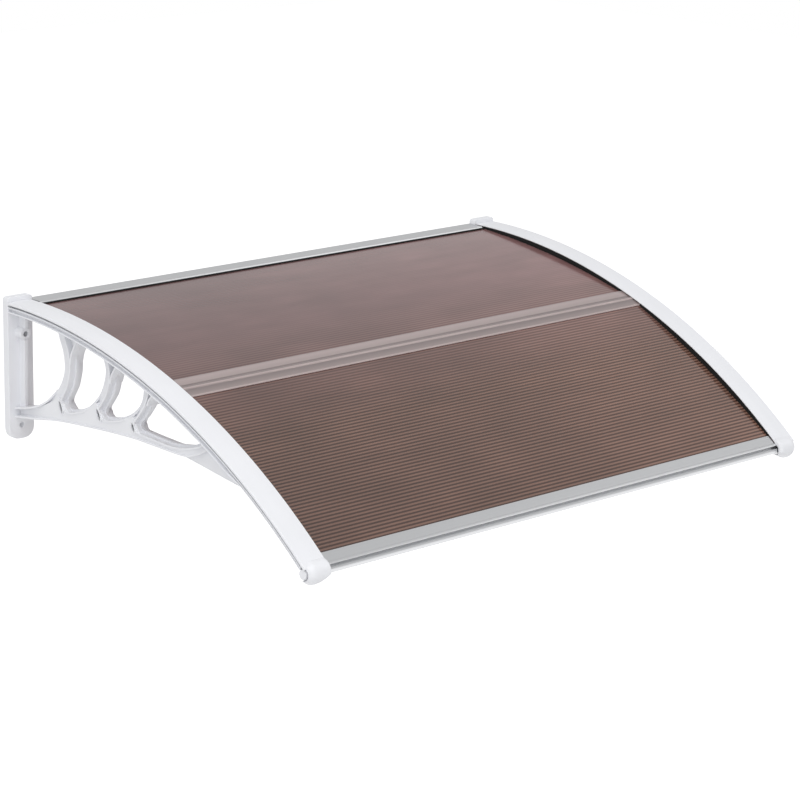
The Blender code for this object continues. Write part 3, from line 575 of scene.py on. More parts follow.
def matt_white_paper(tree, shader, place, colours):
    """Paper, uncoated: a flat matt white that keeps the shadow, white to viewers where nothing shades it."""
    strength = add(tree, "ShaderNodeMapRange", {"To Min": 0.0, "To Max": 0.6},
                   {"Value": seen_by(tree, "Is Camera Ray", "Is Glossy Ray", "Is Transmission Ray")})
    tree.links.new(strength.outputs[0], shader.inputs["Emission Strength"])
    set_shader(shader, Base_Color=(*linear("#e6e6e6"), 1.0), Roughness=0.9,
               Emission_Color=(1.0, 1.0, 1.0, 1.0))


def zinc_plated_steel(tree, shader, place, colours):
    """Steel, cold headed and zinc plated: a cool grey metal, slightly mottled."""
    # Mottling of about 1 mm.
    mottle = add(tree, "ShaderNodeTexNoise", {"Scale": 900.0, "Detail": 2.0}, {"Vector": place["Object"]})
    shade = add(tree, "ShaderNodeMix", {6: (*linear("#8d9194"), 1), 7: (*linear("#b9bdc0"), 1)},
                {0: mottle.outputs["Fac"]}, data_type="RGBA")
    tree.links.new(shade.outputs[2], shader.inputs["Base Color"])
    set_shader(shader, Metallic=1.0, Roughness=0.35)


# Brackets, in millimetres of the side section
def rail_seat(u, half):
    """End of a strap inside the rail's foot, at u and with half the strap's width."""
    radius = RAIL_LOW_RADIUS + RAIL_FOOT * 0.6
    return (u, on_arc(radius, arc_angle(u * MM, radius))[1] / MM, half)


OPENINGS = [
    ([(26.5, 90), (26.5, 57), (30, 54), (53.4, 60.5), (88.3, 75.5), (108.1, 94.0), (120.8, 110.3),
      (129.1, 131.5), (126.6, 156), (117, 176)], (110, 30)),
    ([(160, 160), (160, 143), (157, 124), (151, 107), (141, 92), (138, 84), (141, 77.5), (152, 76.0),
      (169, 80), (189, 88.5), (206, 102), (217, 114), (226, 131), (231, 151), (226, 167)], (219, 175)),
    ([(258, 150), (256, 135), (250, 119), (239, 104), (231.5, 93), (232, 86.5), (240, 84.5), (260, 87.5),
      (281, 94.5), (297, 103), (310, 114), (318, 126), (321.5, 140)], (317, 274)),
    ([(345, 131), (340, 121), (328, 104), (316.5, 92), (316, 86.5), (321, 83.2), (345, 81.5), (375, 80.5),
      (400, 80.8), (425, 84.5), (440, 88), (455, 95), (466, 101)], (470, 360)),
]
SCROLLS = [
    [rail_seat(136.2, 12), (140.5, 186.7, 12), (150.7, 164.2, 12), (154.5, 142, 12), (151.4, 125, 12),
     (145.5, 108.5, 12), (135, 92.5, 12), (131.3, 84, 12), (134, 75, 12), (144, 71.3, 12), (156, 72, 12),
     (169.5, 75.8, 12), (190.3, 84, 11), (208, 98, 7), (219, 112, 2.7)],
    [rail_seat(244, 12), (248.5, 166.4, 12), (251.5, 150, 12), (249, 135, 12), (243, 119, 12), (232, 104, 12),
     (224.5, 93.7, 12), (225.5, 84.5, 12), (233, 80, 12), (245, 80.2, 12), (260.5, 83, 12), (283, 90, 11),
     (301, 100, 7), (312.5, 113, 2.7)],
    [rail_seat(342.5, 12), (342.4, 141.4, 12), (335.5, 124.6, 12), (322, 107, 12), (310.5, 94, 12),
     (309.2, 86, 12), (315, 79.5, 12), (326, 78.0, 12), (365.6, 76.6, 12), (399.6, 76.4, 12),
     (431.5, 81.4, 12), (462.8, 92, 12), rail_seat(477.5, 12)],
]
GUSSETS = [
    [(154.7, 146, 11.5), (158.5, 161, 12), (165, 173, 12), rail_seat(172.5, 12)],
    [(252.5, 138, 11.5), (257, 151, 12), (264, 161, 12), rail_seat(271.5, 12)],
    [(340.5, 124, 11.5), (344, 132, 12), (350.5, 139, 12), rail_seat(357.5, 12)],
]
LOWER_FLANGE = [(8, 35.5, 12), (66, 44, 12), (129, 55, 12), (229, 64.4, 12), (297, 69, 12), (336, 69.8, 12),
                (395, 69.6, 12), (428, 70.8, 12), (452, 78, 12), (472, 88.5, 12), rail_seat(484.5, 12)]
UPPER_FLANGE = [(8, 48, 12), (44, 56, 12), (70, 64.5, 11), (92, 77.5, 7), (110, 96, 2.7)]
ARM = [(10, 36, 49, 2.6), (40, 40.5, 56, 3.5), (75, 45.5, 66, 6), (105, 51.5, 80, 8), (118, 54, 88, 9),
       (132, 56, 86, 10), (150, 58, 71.5, 10), (170, 60, 76, 10), (190, 62, 83.5, 10), (209, 64, 97.5, 10),
       (217, 64.5, 100, 10), (226, 65.5, 90, 10), (245, 66.5, 80, 10), (262, 67.5, 83, 10),
       (283, 68.5, 89.5, 10), (300, 69, 98, 10), (306, 69.2, 99, 10), (312, 69.4, 90, 10),
       (325, 69.5, 78, 10), (365, 70, 76.4, 10),
       (400, 70, 76, 10), (431, 71.3, 81, 10), (452, 78, 88, 9), (474, 89, 97, 8)]
SLITS = [((126.5, 86), (134.5, 66.5)), ((220, 94), (228.5, 76.5)), ((304.5, 91.5), (310, 78))]
WEB_LOWER_EDGE = [(10, 36), (66, 44), (129, 55), (229, 64.4), (297, 69), (336, 69.6), (380, 68.8),
                  (419, 65.0), (468, 59.2), (529, 52.0), (572, 49)]


def box_ring(low, high, half, rounding):
    """Ring of a moulded bar's section between two edges of the side section."""
    span = math.dist(low, high)
    ring = []
    for x, share in rounded([(-half, 0), (half, 0), (half, span), (-half, span)], rounding):
        point = tuple(a + (b - a) * share / span for a, b in zip(low, high))
        ring.append(spot(x - BRACKET_MIDDLE, point))
    return ring


def strap(name, points, rounding):
    line = smooth_line(in_mm(points), 6)
    rings = []
    for i, (u, z, half) in enumerate(line):
        before = line[max(i - 1, 0)]
        after = line[min(i + 1, len(line) - 1)]
        slope = math.atan2(after[1] - before[1], after[0] - before[0])
        across = (-math.sin(slope) * STRAP_THICKNESS / 2, math.cos(slope) * STRAP_THICKNESS / 2)
        rings.append(box_ring((u - across[0], z - across[1]), (u + across[0], z + across[1]), half, rounding))
    return skinned(name, rings)


def lens(name, ends, half, reach):
    """Lens-shaped prism across the bracket, from one point of the side section to another."""
    (u0, z0), (u1, z1) = in_mm(ends)
    length = math.hypot(u1 - u0, z1 - z0)
    over = half - SLIT_HALF_WIDTH
    axes = Axes((u0, z0), math.atan2(z0 - z1, u1 - u0))
    side = [(-over + (length + 2 * over) * i / 12, half * math.sin(math.pi * i / 12) ** 0.6)
            for i in range(13)]
    outline = [axes.at(t, n) for t, n in side] + [axes.at(t, -n) for t, n in side[-2:0:-1]]
    return extruded(name, outline, -BRACKET_MIDDLE - reach, -BRACKET_MIDDLE + reach)


def web():
    start = arc_angle(PLATE_THICKNESS - 3.5 * MM, RAIL_LOW_RADIUS)
    end = arc_angle(RAIL_FRONT_START + 8 * MM, RAIL_LOW_RADIUS)
    loops = [arc_line(RAIL_LOW_RADIUS + 3.3 * MM, start, end) + smooth_line(in_mm(WEB_LOWER_EDGE))[::-1]]
    for sides, (last_u, first_u) in OPENINGS:
        top = arc_line(RAIL_LOW_RADIUS + RAIL_FOOT / 3, arc_angle(last_u * MM, RAIL_LOW_RADIUS),
                       arc_angle(first_u * MM, RAIL_LOW_RADIUS), 12)
        loops.append(smooth_line(in_mm(sides)) + top)
    half = WEB_THICKNESS / 2
    return pierced("web", loops, -BRACKET_MIDDLE - half, -BRACKET_MIDDLE + half)


def wall_plate():
    """Wall plate with rounded corners, a dished edge and its two screw holes."""
    half = PLATE_WIDTH / 2
    outline = rounded([(half, PLATE_HEIGHT, 6 * MM), (-half, PLATE_HEIGHT, 6 * MM), (-half, 0.0, 24 * MM),
                       (half, 0.0, 24 * MM)], 0, 10)
    rings = [[(x - BRACKET_MIDDLE, -u, z - ORIGIN_HEIGHT) for x, z in outline]
             for u in (0.0, PLATE_THICKNESS)]
    plate = skinned("plate", rings)
    hole = [(-5 * MM, WALL_HOLE_RADIUS), (PLATE_THICKNESS + 40 * MM, WALL_HOLE_RADIUS)]
    holes = [turned("hole", hole, (-BRACKET_MIDDLE, 0, height - ORIGIN_HEIGHT), (0, -1, 0))
             for height in (BOSS_HEIGHT, FOOT_HOLE_HEIGHT)]
    return soften(cut(plate, holes), 1.2 * MM)


def boss():
    """Round boss of the upper screw, a tube with rounded rims."""
    outer = BOSS_RADIUS
    inner = WALL_HOLE_RADIUS
    front = BOSS_REACH
    origin = (-BRACKET_MIDDLE, 0, BOSS_HEIGHT - ORIGIN_HEIGHT)
    profile = [(PLATE_THICKNESS - 2 * MM, outer + 1.5 * MM), (PLATE_THICKNESS + 1 * MM, outer + 0.3 * MM),
               (front - 1.2 * MM, outer), (front - 0.4 * MM, outer - 0.4 * MM), (front, outer - 1.2 * MM)]
    bore = [(0, inner), (front - 0.8 * MM, inner), (front + 1 * MM, inner + 1.2 * MM)]
    return cut(turned("boss", profile, origin, (0, -1, 0)), [turned("bore", bore, origin, (0, -1, 0))])


def boss_room():
    """Room of the upper boss and its bore, kept free of the web."""
    inner = WALL_HOLE_RADIUS
    outer = BOSS_RADIUS - 0.1 * MM
    front = BOSS_REACH - 0.8 * MM
    profile = [(0, inner), (front, inner), (front + 0.01 * MM, outer), (60 * MM, outer)]
    return turned("boss_room", profile, (-BRACKET_MIDDLE, 0, BOSS_HEIGHT - ORIGIN_HEIGHT), (0, -1, 0))


def ledge_outline(start):
    """Ledge that carries the sheets' side edges and the joint profile, down to the rail's foot."""
    depth = SHEET_THICKNESS + CLEARANCE
    seat = depth + JOINT_WALL + CLEARANCE
    wing = JOINT_WING + CLEARANCE
    rear = REAR_BOW.line(depth, 0.0, REAR_BOW.length - wing)
    rear.insert(0, (PLATE_THICKNESS - 3 * MM, rear[0][1]))
    joint = [REAR_END.at(-wing, -seat), REAR_END.at(JOINT_HALF_GAP, -seat), FRONT_START.at(wing, -seat)]
    front = FRONT_BOW.line(depth, wing, FRONT_BOW.length - FRONT_LOWER_LENGTH - 3 * MM)
    low = RAIL_LOW_RADIUS + 0.15 * MM
    return rear + joint + front + arc_line(low, arc_angle(front[-1][0], low), start)


def rail_section(rounding, rise):
    """Section of the rail, its low side raised by the rise, with a recessed side and the tongue's groove."""
    outer = -RAIL_OUTER_X
    shoulder = -SHEET_HALF_WIDTH - 4 * CLEARANCE
    top = RAIL_TOP_RADIUS
    low = RAIL_LOW_RADIUS + rise
    foot = low + RAIL_FOOT
    recess = outer + RAIL_RECESS
    groove = top - 2.0 * MM
    left = -BRACKET_MIDDLE - 3.3 * MM
    right = -BRACKET_MIDDLE + 3.3 * MM
    return rounded([(outer, top), (left, top), (left, groove), (right, groove), (right, top), (shoulder, top),
                    (shoulder, foot), (-RAIL_INNER_X, foot), (-RAIL_INNER_X, low), (outer, low),
                    (outer, foot), (recess, foot), (recess, groove), (outer, groove)], rounding)


def rail(rounding):
    """The rail: it tapers to a thin front end and a nose, and carries the ledge of the sheets."""
    start = arc_angle(PLATE_THICKNESS - 3 * MM, RAIL_TOP_RADIUS)
    thin = arc_angle(RAIL_FRONT_START, RAIL_LOW_RADIUS)
    tip = NOSE_ANGLE - RAIL_TIP_GAP / NOSE_ORBIT
    taper = RAIL_TAPER / RAIL_LOW_RADIUS
    outer = -RAIL_OUTER_X
    shoulder = -SHEET_HALF_WIDTH - 4 * CLEARANCE
    groove = RAIL_TOP_RADIUS - 2.0 * MM
    front = RAIL_FRONT_RADIUS
    rings = []
    for angle in spread(start, tip, 90):
        share = min(max((angle - thin + taper) / taper, 0.0), 1.0)
        rise = (front - RAIL_LOW_RADIUS) * share * share * (3 - 2 * share)
        rings.append([spot(x, on_arc(radius, angle)) for x, radius in rail_section(rounding, rise)])
    yield skinned("rail", rings)
    section = [(outer + 1.2 * MM, groove - MM), (-BRACKET_MIDDLE - 0.6 * MM, groove - MM),
               (-BRACKET_MIDDLE - 0.6 * MM, front + 0.5 * MM), (outer + 1.2 * MM, front + 0.5 * MM)]
    yield along_arc("rail_neck", section, tip - 0.003, NOSE_ANGLE - 0.003, 4)
    yield extruded("ledge", ledge_outline(start), shoulder - 1.6 * MM, -RAIL_INNER_X)
    length = RAIL_OUTER_X - BRACKET_MIDDLE - CLEARANCE
    edge = 1.0 * MM
    profile = [(0, NOSE_RADIUS - edge), (0.3 * MM, NOSE_RADIUS - edge * 0.3), (edge, NOSE_RADIUS),
               (length, NOSE_RADIUS)]
    yield turned("nose", profile, spot(outer, NOSE_CENTRE), (1, 0, 0), 64)


class CanopyBrackets(bpy.types.Operator):
    """Build the two moulded wall brackets with their scrolls, rails and wall plates"""
    bl_idname = "canopy.brackets"
    bl_label = "Brackets"

    def execute(self, context):
        rounding = context.scene.canopy_sizes.strap_rounding
        slits = [lens(f"slit_{i}", ends, SLIT_HALF_WIDTH, STRAP_WIDTH) for i, ends in enumerate(SLITS)]
        walls = [lens(f"slit_wall_{i}", ends, SLIT_HALF_WIDTH + SLIT_WALL, STRAP_WIDTH / 2 - 0.1 * MM)
                 for i, ends in enumerate(SLITS)]
        stations = [box_ring((u, low), (u, high), half, rounding * 1.5)
                    for u, low, high, half in smooth_line(in_mm(ARM), 4)]
        solid = [skinned("arm", stations), web(), *(soften(wall, 0.4 * MM, 60) for wall in walls),
                 strap("lower_flange", LOWER_FLANGE, rounding),
                 *(strap(f"scroll_{i}", points, rounding) for i, points in enumerate(SCROLLS + GUSSETS))]
        cut(solid[1], [boss_room()])
        parts = [cut(part, slits) for part in solid]
        parts += [strap("upper_flange", UPPER_FLANGE, rounding), wall_plate(), boss(), *rail(rounding * 0.6)]
        finish_pair("wall_bracket", parts, moulded_white_pvc, "white_plastic", "bracket")
        return {"FINISHED"}


# The bulb's inner corner slopes away underneath, so that the end of the front bar's bead shows: millimetres
# inwards from the bulb's end and down from its axis, turned down from the slope by each angle.
BULB_CORNER = [(-5, 4.5), (0, 6.8), (4.5, 9.6), (9.5, 12.2), (14.5, 14.3), (20, 16.0), (27, 17.4), (27, 30),
               (-5, 30)]
BULB_CORNER_TURNS = (27, 60)


# Covers
def cover_shell(sizes):
    """Curved strip with a shallow roof shape, a skirt outside and a tongue underneath."""
    start = arc_angle(PLATE_THICKNESS + CLEARANCE, COVER_RADIUS)
    end = NOSE_ANGLE - 1 * MM / NOSE_ORBIT
    outer = -HALF_WIDTH
    inner = -COVER_INNER_X
    crown = -BRACKET_MIDDLE + 2 * MM
    edge = COVER_RADIUS - sizes.cover_crown
    under = COVER_UNDERSIDE
    tongue = 3.0 * MM
    low = under - 6.9 * MM
    soft = sizes.cover_rounding
    section = [(outer, edge, soft), (crown, COVER_RADIUS, 3 * MM), (inner, edge, soft),
               (inner, under, 0.3 * MM),
               (tongue - BRACKET_MIDDLE, under, 0), (tongue - BRACKET_MIDDLE, low, 0.6 * MM),
               (-tongue - BRACKET_MIDDLE, low, 0.6 * MM), (-tongue - BRACKET_MIDDLE, under, 0),
               (outer + 2.2 * MM, under, 0), (outer + 2.2 * MM, under - 2 * MM, 0.5 * MM),
               (outer, under - 2 * MM, 0.5 * MM)]
    return along_arc("shell", rounded(section, 0, 4), start, end, 90)


def bulb():
    """Round front end of a cover, open at the back for the rail, the sheet and the front bar."""
    outer = -HALF_WIDTH + 0.1 * MM
    length = HALF_WIDTH - COVER_INNER_X - 0.2 * MM
    profile = []
    for angle in spread(0, math.pi / 2, 16):
        profile.append((BULB_DOME_LENGTH * (1 - math.cos(angle)), BULB_RADIUS * max(math.sin(angle), 0.3)))
    soft = 5 * MM
    for angle in spread(0, math.pi / 2, 6):
        profile.append((length - soft + soft * math.sin(angle), BULB_RADIUS - soft + soft * math.cos(angle)))
    origin = spot(outer, NOSE_CENTRE)
    barrel = turned("bulb", profile, origin, (1, 0, 0), 96)
    reach = 2 * BULB_RADIUS
    top = COVER_UNDERSIDE + 1.2 * MM - NOSE_ORBIT
    back = ((-reach, -reach), (BULB_LIP_REACH, -reach), (BULB_LIP_REACH, 0.0), (-BULB_CUT_DEPTH, 0.0),
            (-BULB_CUT_DEPTH, top), (-reach, top))
    bore = [(-5 * MM, BULB_BORE_RADIUS), (length + 5 * MM, BULB_BORE_RADIUS)]
    tools = [extruded("bulb_back", [NOSE_AXES.at(t, n) for t, n in back], outer - reach,
                      outer + length + reach),
             turned("bulb_bore", bore, spot(outer, NOSE_AXES.at(0.6 * MM, 0.5 * MM)), (1, 0, 0), 96)]
    for turn in BULB_CORNER_TURNS:
        down = Axes(NOSE_CENTRE, NOSE_ANGLE + math.radians(turn)).at
        tools.append(skinned("bulb_corner", [
            [spot(outer + length - inward, down(depth, side)) for inward, depth in in_mm(BULB_CORNER)]
            for side in (-30 * MM, 30 * MM)]))
    return cut(barrel, tools)


class CanopyCovers(bpy.types.Operator):
    """Build the two clamping covers with their round front ends"""
    bl_idname = "canopy.covers"
    bl_label = "Covers"

    def execute(self, context):
        parts = [cover_shell(context.scene.canopy_sizes), bulb()]
        finish_pair("clamping_cover", parts, moulded_white_pvc, "white_plastic", "cover")
        return {"FINISHED"}


# Sheets
def twin_wall(name, bow, sizes, first):
    """Twin-wall sheet with hollow cells; its map's U counts the cells, from the first on, and its V is x."""
    cells = round((bow.length - SHEET_RIB) / sizes.sheet_pitch)
    pitch = (bow.length - SHEET_RIB) / cells
    columns = []
    for i in range(cells + 1):
        columns += [(pitch * i, 0.0, i > 0), (pitch * i + SHEET_RIB, 0.0, False)]
        if i < cells:
            gap = pitch - SHEET_RIB
            columns += [(pitch * i + SHEET_RIB + gap * f, sizes.sheet_relief * math.sin(math.pi * f), True)
                        for f in (0.25, 0.5, 0.75)]
    work = bmesh.new()
    layer = work.loops.layers.uv.new("cells")
    depths = (0.0, SHEET_SKIN, SHEET_THICKNESS - SHEET_SKIN, SHEET_THICKNESS)
    grid = []
    for distance, sink, hollow in columns:
        sinks = (sink, 0.0, 0.0, -sink)
        column = []
        for depth, extra in zip(depths, sinks):
            point = bow.at(distance, depth + extra)
            column.append([work.verts.new(spot(x, point)) for x in (-SHEET_HALF_WIDTH, SHEET_HALF_WIDTH)])
        grid.append(column)

    def face(k, corners):
        made = work.faces.new([grid[k + column][level][side] for column, level, side in corners])
        for loop, (column, level, side) in zip(made.loops, corners):
            distance = columns[k + column][0] - SHEET_RIB / 2
            loop[layer].uv = (first + distance / pitch, loop.vert.co.x)

    last = len(columns) - 1
    for k in range(last):
        hollow = columns[k + 1][2]
        levels = (0, 2) if hollow else (0, 1, 2)
        for level in levels:
            for side in (0, 1):
                face(k, [(0, level, side), (1, level, side), (1, level + 1, side), (0, level + 1, side)])
        for level in (0, 1, 2, 3) if hollow else (0, 3):
            face(k, [(0, level, 0), (1, level, 0), (1, level, 1), (0, level, 1)])
        if hollow != (k > 0 and columns[k][2]):
            face(k, [(0, 1, 0), (0, 2, 0), (0, 2, 1), (0, 1, 1)])
    for k in (0, last):
        for level in (0, 1, 2):
            face(k, [(0, level, 0), (0, level + 1, 0), (0, level + 1, 1), (0, level, 1)])
    return new_part(name, work)


class CanopySheets(bpy.types.Operator):
    """Build the two bent twin-wall sheets"""
    bl_idname = "canopy.sheets"
    bl_label = "Sheets"

    def execute(self, context):
        sizes = context.scene.canopy_sizes
        for name, bow, first in (("rear", REAR_BOW, 0), ("front", FRONT_BOW, 60)):
            sheet = twin_wall(f"{name}_sheet", bow, sizes, first)
            finish_piece(f"twin_wall_{name}", [sheet], bronze_twin_wall_polycarbonate, "bronze_polycarbonate",
                         f"{name}_panel")
        return {"FINISHED"}


# Joint profile and bars
def joint_outline():
    """Section of the joint profile: two slots, a raised middle and grooved wings."""
    rear = REAR_END.at
    front = FRONT_START.at
    c = CLEARANCE
    wall = c + JOINT_WALL
    low = SHEET_THICKNESS + c
    wing = JOINT_WING
    ridge = wall + 0.9 * MM
    soft = 0.3 * MM
    groove = wall - 0.7 * MM
    under = low + JOINT_WALL
    top = [(*front(wing, c), 0), (*front(wing, wall), 0.6 * MM), (*front(4.4 * MM, wall), soft),
           (*front(3.4 * MM, ridge), soft), (*front(0.8 * MM, ridge), soft), (*front(0.0, wall), soft),
           (*rear(-1.0 * MM, wall), soft), (*rear(-1.4 * MM, groove), soft), (*rear(-3.4 * MM, groove), soft),
           (*rear(-3.8 * MM, wall), soft), (*rear(-wing, wall), 0.6 * MM), (*rear(-wing, c), 0)]
    below = [(*rear(c, c), 0), (*rear(c, -low), 0), (*rear(-wing, -low), soft), (*rear(-wing, -under), soft),
             (*rear(JOINT_HALF_GAP, -under), soft), (*front(wing, -under), soft), (*front(wing, -low), soft),
             (*front(-c, -low), 0), (*front(-c, c), 0)]
    return rounded(top + below, 0)


class CanopyJoint(bpy.types.Operator):
    """Build the clear joint profile between the sheets"""
    bl_idname = "canopy.joint"
    bl_label = "Joint profile"

    def execute(self, context):
        part = extruded("joint", joint_outline(), -SHEET_HALF_WIDTH, SHEET_HALF_WIDTH)
        finish_piece("sheet_joint", [part], clear_extruded_polycarbonate, "clear_polycarbonate",
                     "joint_profile")
        return {"FINISHED"}


def front_outline():
    """Section of the front bar without its bead: the sheet's slot, a flange with a raised rim and a neck."""
    at = FRONT_END.at
    c = CLEARANCE
    wall = FRONT_WALL
    top = c + wall
    low = SHEET_THICKNESS + c
    lip = FRONT_FLANGE_LENGTH - FRONT_SLOT_END
    short = FRONT_LOWER_LENGTH - c
    soft = 0.5 * MM
    rim = NOSE_AXES.at
    neck_low = rim(-BEAD_RADIUS * 0.8, -BEAD_RADIUS * 0.4)
    return rounded([(*at(-lip, top), soft), (*at(-lip, c), 0), (*at(c, c), 0), (*at(c, -low), 0),
                    (*at(-short, -low), soft), (*at(-short, -low - wall), soft), (*neck_low, 0),
                    (*rim(0.0, -1.0 * MM), 0), (*rim(1.5 * MM, 2.6 * MM), 0),
                    (*rim(-0.7 * MM, 2.6 * MM), soft),
                    (*rim(-0.4 * MM, 9.5 * MM), 0.9 * MM), (*rim(-4.4 * MM, 9.5 * MM), 0.7 * MM),
                    (*rim(-5.4 * MM, 8.8 * MM), 0.3 * MM)], 0)


def groove_room(reach):
    """Room of the deep groove between the front bar's rim and its bead."""
    outline = in_mm([(-0.6, 16), (-0.6, 2.5), (2.2, 2.5), (2.9, 5.2), (5.5, 16)])
    return extruded("groove_room", [NOSE_AXES.at(t, n) for t, n in outline], -reach, reach)


def rear_outline():
    """Section of the wall bar: a back against the wall and a slot for the rear sheet."""
    start = REAR_BOW.at(0)
    slope = REAR_BOW.slope - REAR_BOW.half
    high = Axes(REAR_BOW.at(0, -CLEARANCE), slope).at
    low = Axes(REAR_BOW.at(0, SHEET_THICKNESS + CLEARANCE), slope).at
    lip = REAR_LIP_REACH - start[0]
    flange = REAR_FLANGE_REACH - start[0]
    web_u = start[0] - CLEARANCE - REAR_WALL
    back = REAR_TOP - REAR_BACK_HEIGHT
    soft = 0.5 * MM
    return rounded([(0.0, REAR_TOP, soft), (REAR_FLANGE_REACH - 1.3 * MM, REAR_TOP, 0.4 * MM),
                    (REAR_FLANGE_REACH, REAR_TOP - 2.0 * MM, 0.2 * MM), (*high(flange, 0.3 * MM), 0),
                    (*high(-CLEARANCE, 0.0), 0), (*low(-CLEARANCE, 0.0), 0), (*low(lip, -0.3 * MM), 0),
                    (*low(lip, -1.6 * MM), soft), (web_u, low(0, -1.6 * MM)[1], soft),
                    (web_u, REAR_TOP - REAR_WALL, soft), (REAR_WALL, REAR_TOP - REAR_WALL, soft),
                    (REAR_WALL, back, soft), (0.0, back, soft)], 0)


class CanopyBars(bpy.types.Operator):
    """Build the front bar with its round bead, and the wall bar"""
    bl_idname = "canopy.bars"
    bl_label = "Bars"

    def execute(self, context):
        reach = COVER_INNER_X - CLEARANCE
        bead_reach = BRACKET_MIDDLE - CLEARANCE
        edge = 0.6 * MM
        collar = bead_reach - COVER_INNER_X
        profile = [(0, BEAD_RADIUS - edge), (edge, BEAD_RADIUS), (collar, BEAD_RADIUS),
                   (collar + 0.3 * MM, BEAD_COLLAR_RADIUS), (collar + 1.6 * MM, BEAD_COLLAR_RADIUS),
                   (collar + 1.9 * MM, BEAD_RADIUS)]
        profile += [(2 * bead_reach - place, radius) for place, radius in profile[::-1]]
        parts = [extruded("front", front_outline(), -reach, reach),
                 cut(turned("bead", profile, spot(-bead_reach, NOSE_AXES.at(0.7 * MM, 0.0)), (1, 0, 0), 64),
                     [groove_room(bead_reach + MM)])]
        finish_piece("front_profile", parts, satin_anodised_aluminium, "aluminium", "front_bar")
        reach = HALF_WIDTH - PLATE_WIDTH - CLEARANCE
        part = extruded("rear", rear_outline(), -reach, reach)
        finish_piece("wall_profile", [part], satin_anodised_aluminium, "aluminium", "rear_bar")
        return {"FINISHED"}


# Seals and screws
class CanopySeals(bpy.types.Operator):
    """Build the rubber seals along the wall bar and beside the covers"""
    bl_idname = "canopy.seals"
    bl_label = "Seals"

    def execute(self, context):
        near = REAR_FLANGE_REACH + CLEARANCE - SHEET_REAR_U
        a = REAR_BOW.at(near, -CLEARANCE)
        b = REAR_BOW.at(near + 2.6 * MM, -CLEARANCE)
        outline = [a, b, (b[0], b[1] + 1.8 * MM, 0.7 * MM), (a[0], a[1] + 1.9 * MM, 0.7 * MM)]
        reach = COVER_INNER_X - CLEARANCE
        part = extruded("seal", rounded(outline, 0), -reach, reach)
        finish_piece("wall_bar_seal", [part], extruded_epdm_rubber, "black_rubber", "rear_seal")
        gap = JOINT_WING + 1.2 * MM
        ends = {"rear": (REAR_BOW, REAR_FLANGE_REACH - SHEET_REAR_U, REAR_BOW.length - gap),
                "front": (FRONT_BOW, gap, FRONT_BOW.length + FRONT_SLOT_END - FRONT_FLANGE_LENGTH - 1.2 * MM)}
        for name, (bow, first, last) in ends.items():
            low = bow.line(-CLEARANCE, first, last)
            start, end = (arc_angle(low[i][0], COVER_UNDERSIDE) for i in (0, -1))
            outline = arc_line(COVER_UNDERSIDE - CLEARANCE, start, end, 32) + low[::-1]
            part = extruded("seal", outline, -SHEET_HALF_WIDTH, -COVER_INNER_X + 0.5 * MM)
            finish_pair(f"{name}_edge_seal", [part], extruded_epdm_rubber, "black_rubber",
                        f"{name}_side_seal")
        return {"FINISHED"}


def screw(origin, axis):
    """Pan-head screw with a cross recess, its head along the axis."""
    profile = [(-4 * MM, 1.9 * MM), (0, 1.9 * MM), (0, 3.9 * MM), (0.8 * MM, 3.9 * MM), (1.7 * MM, 3.3 * MM),
               (2.3 * MM, 2.0 * MM), (2.5 * MM, 0.4 * MM)]
    head = turned("screw", profile, origin, axis, 24)
    turn = Matrix.Translation(origin) @ Vector(axis).to_track_quat("Z", "Y").to_matrix().to_4x4()
    tools = []
    for wide, deep in ((2.2 * MM, 0.4 * MM), (0.4 * MM, 2.2 * MM)):
        cross = ((-wide, -deep), (wide, -deep), (wide, deep), (-wide, deep))
        rings = [[turn @ Vector((x * share, y * share, height)) for x, y in cross]
                 for height, share in ((1.0 * MM, 0.5), (3.0 * MM, 1.0))]
        tools.append(skinned("recess", rings))
    return cut(head, tools)


class CanopyScrews(bpy.types.Operator):
    """Build the screws under the rails that draw the covers down"""
    bl_idname = "canopy.screws"
    bl_label = "Cover screws"

    def execute(self, context):
        count = context.scene.canopy_sizes.screws
        low = arc_angle(60 * MM, RAIL_LOW_RADIUS)
        high = arc_angle(540 * MM, RAIL_LOW_RADIUS)
        heads = []
        for angle in spread(low, high, count - 1):
            for side in (-1, 1):
                origin = spot(side * (BRACKET_MIDDLE + SCREW_OFFSET), on_arc(RAIL_LOW_RADIUS, angle))
                heads.append(screw(origin, (0, math.sin(angle), -math.cos(angle))))
        finish_piece("cover_screws", heads, zinc_plated_steel, "aluminium")
        return {"FINISHED"}


# Studio
def seen_by(tree, *rays):
    """1 for the kinds of rays that see the studio directly, in a mirror or through glass, otherwise 0."""
    path = add(tree, "ShaderNodeLightPath").outputs
    seen = path[rays[0]]
    for ray in rays[1:]:
        seen = add(tree, "ShaderNodeMath", None, {0: seen, 1: path[ray]}, operation="MAXIMUM").outputs[0]
    return seen


def studio_world():
    world = bpy.data.worlds.new("soft_white_studio")
    world.use_nodes = True
    tree = world.node_tree
    background = tree.nodes["Background"]
    background.inputs["Color"].default_value = (1.0, 1.0, 1.0, 1.0)
    strength = add(tree, "ShaderNodeMapRange", {"To Min": 0.7, "To Max": 1.0},
                   {"Value": seen_by(tree, "Is Camera Ray", "Is Transmission Ray")})
    tree.links.new(strength.outputs[0], background.inputs["Strength"])
    bpy.context.scene.world = world


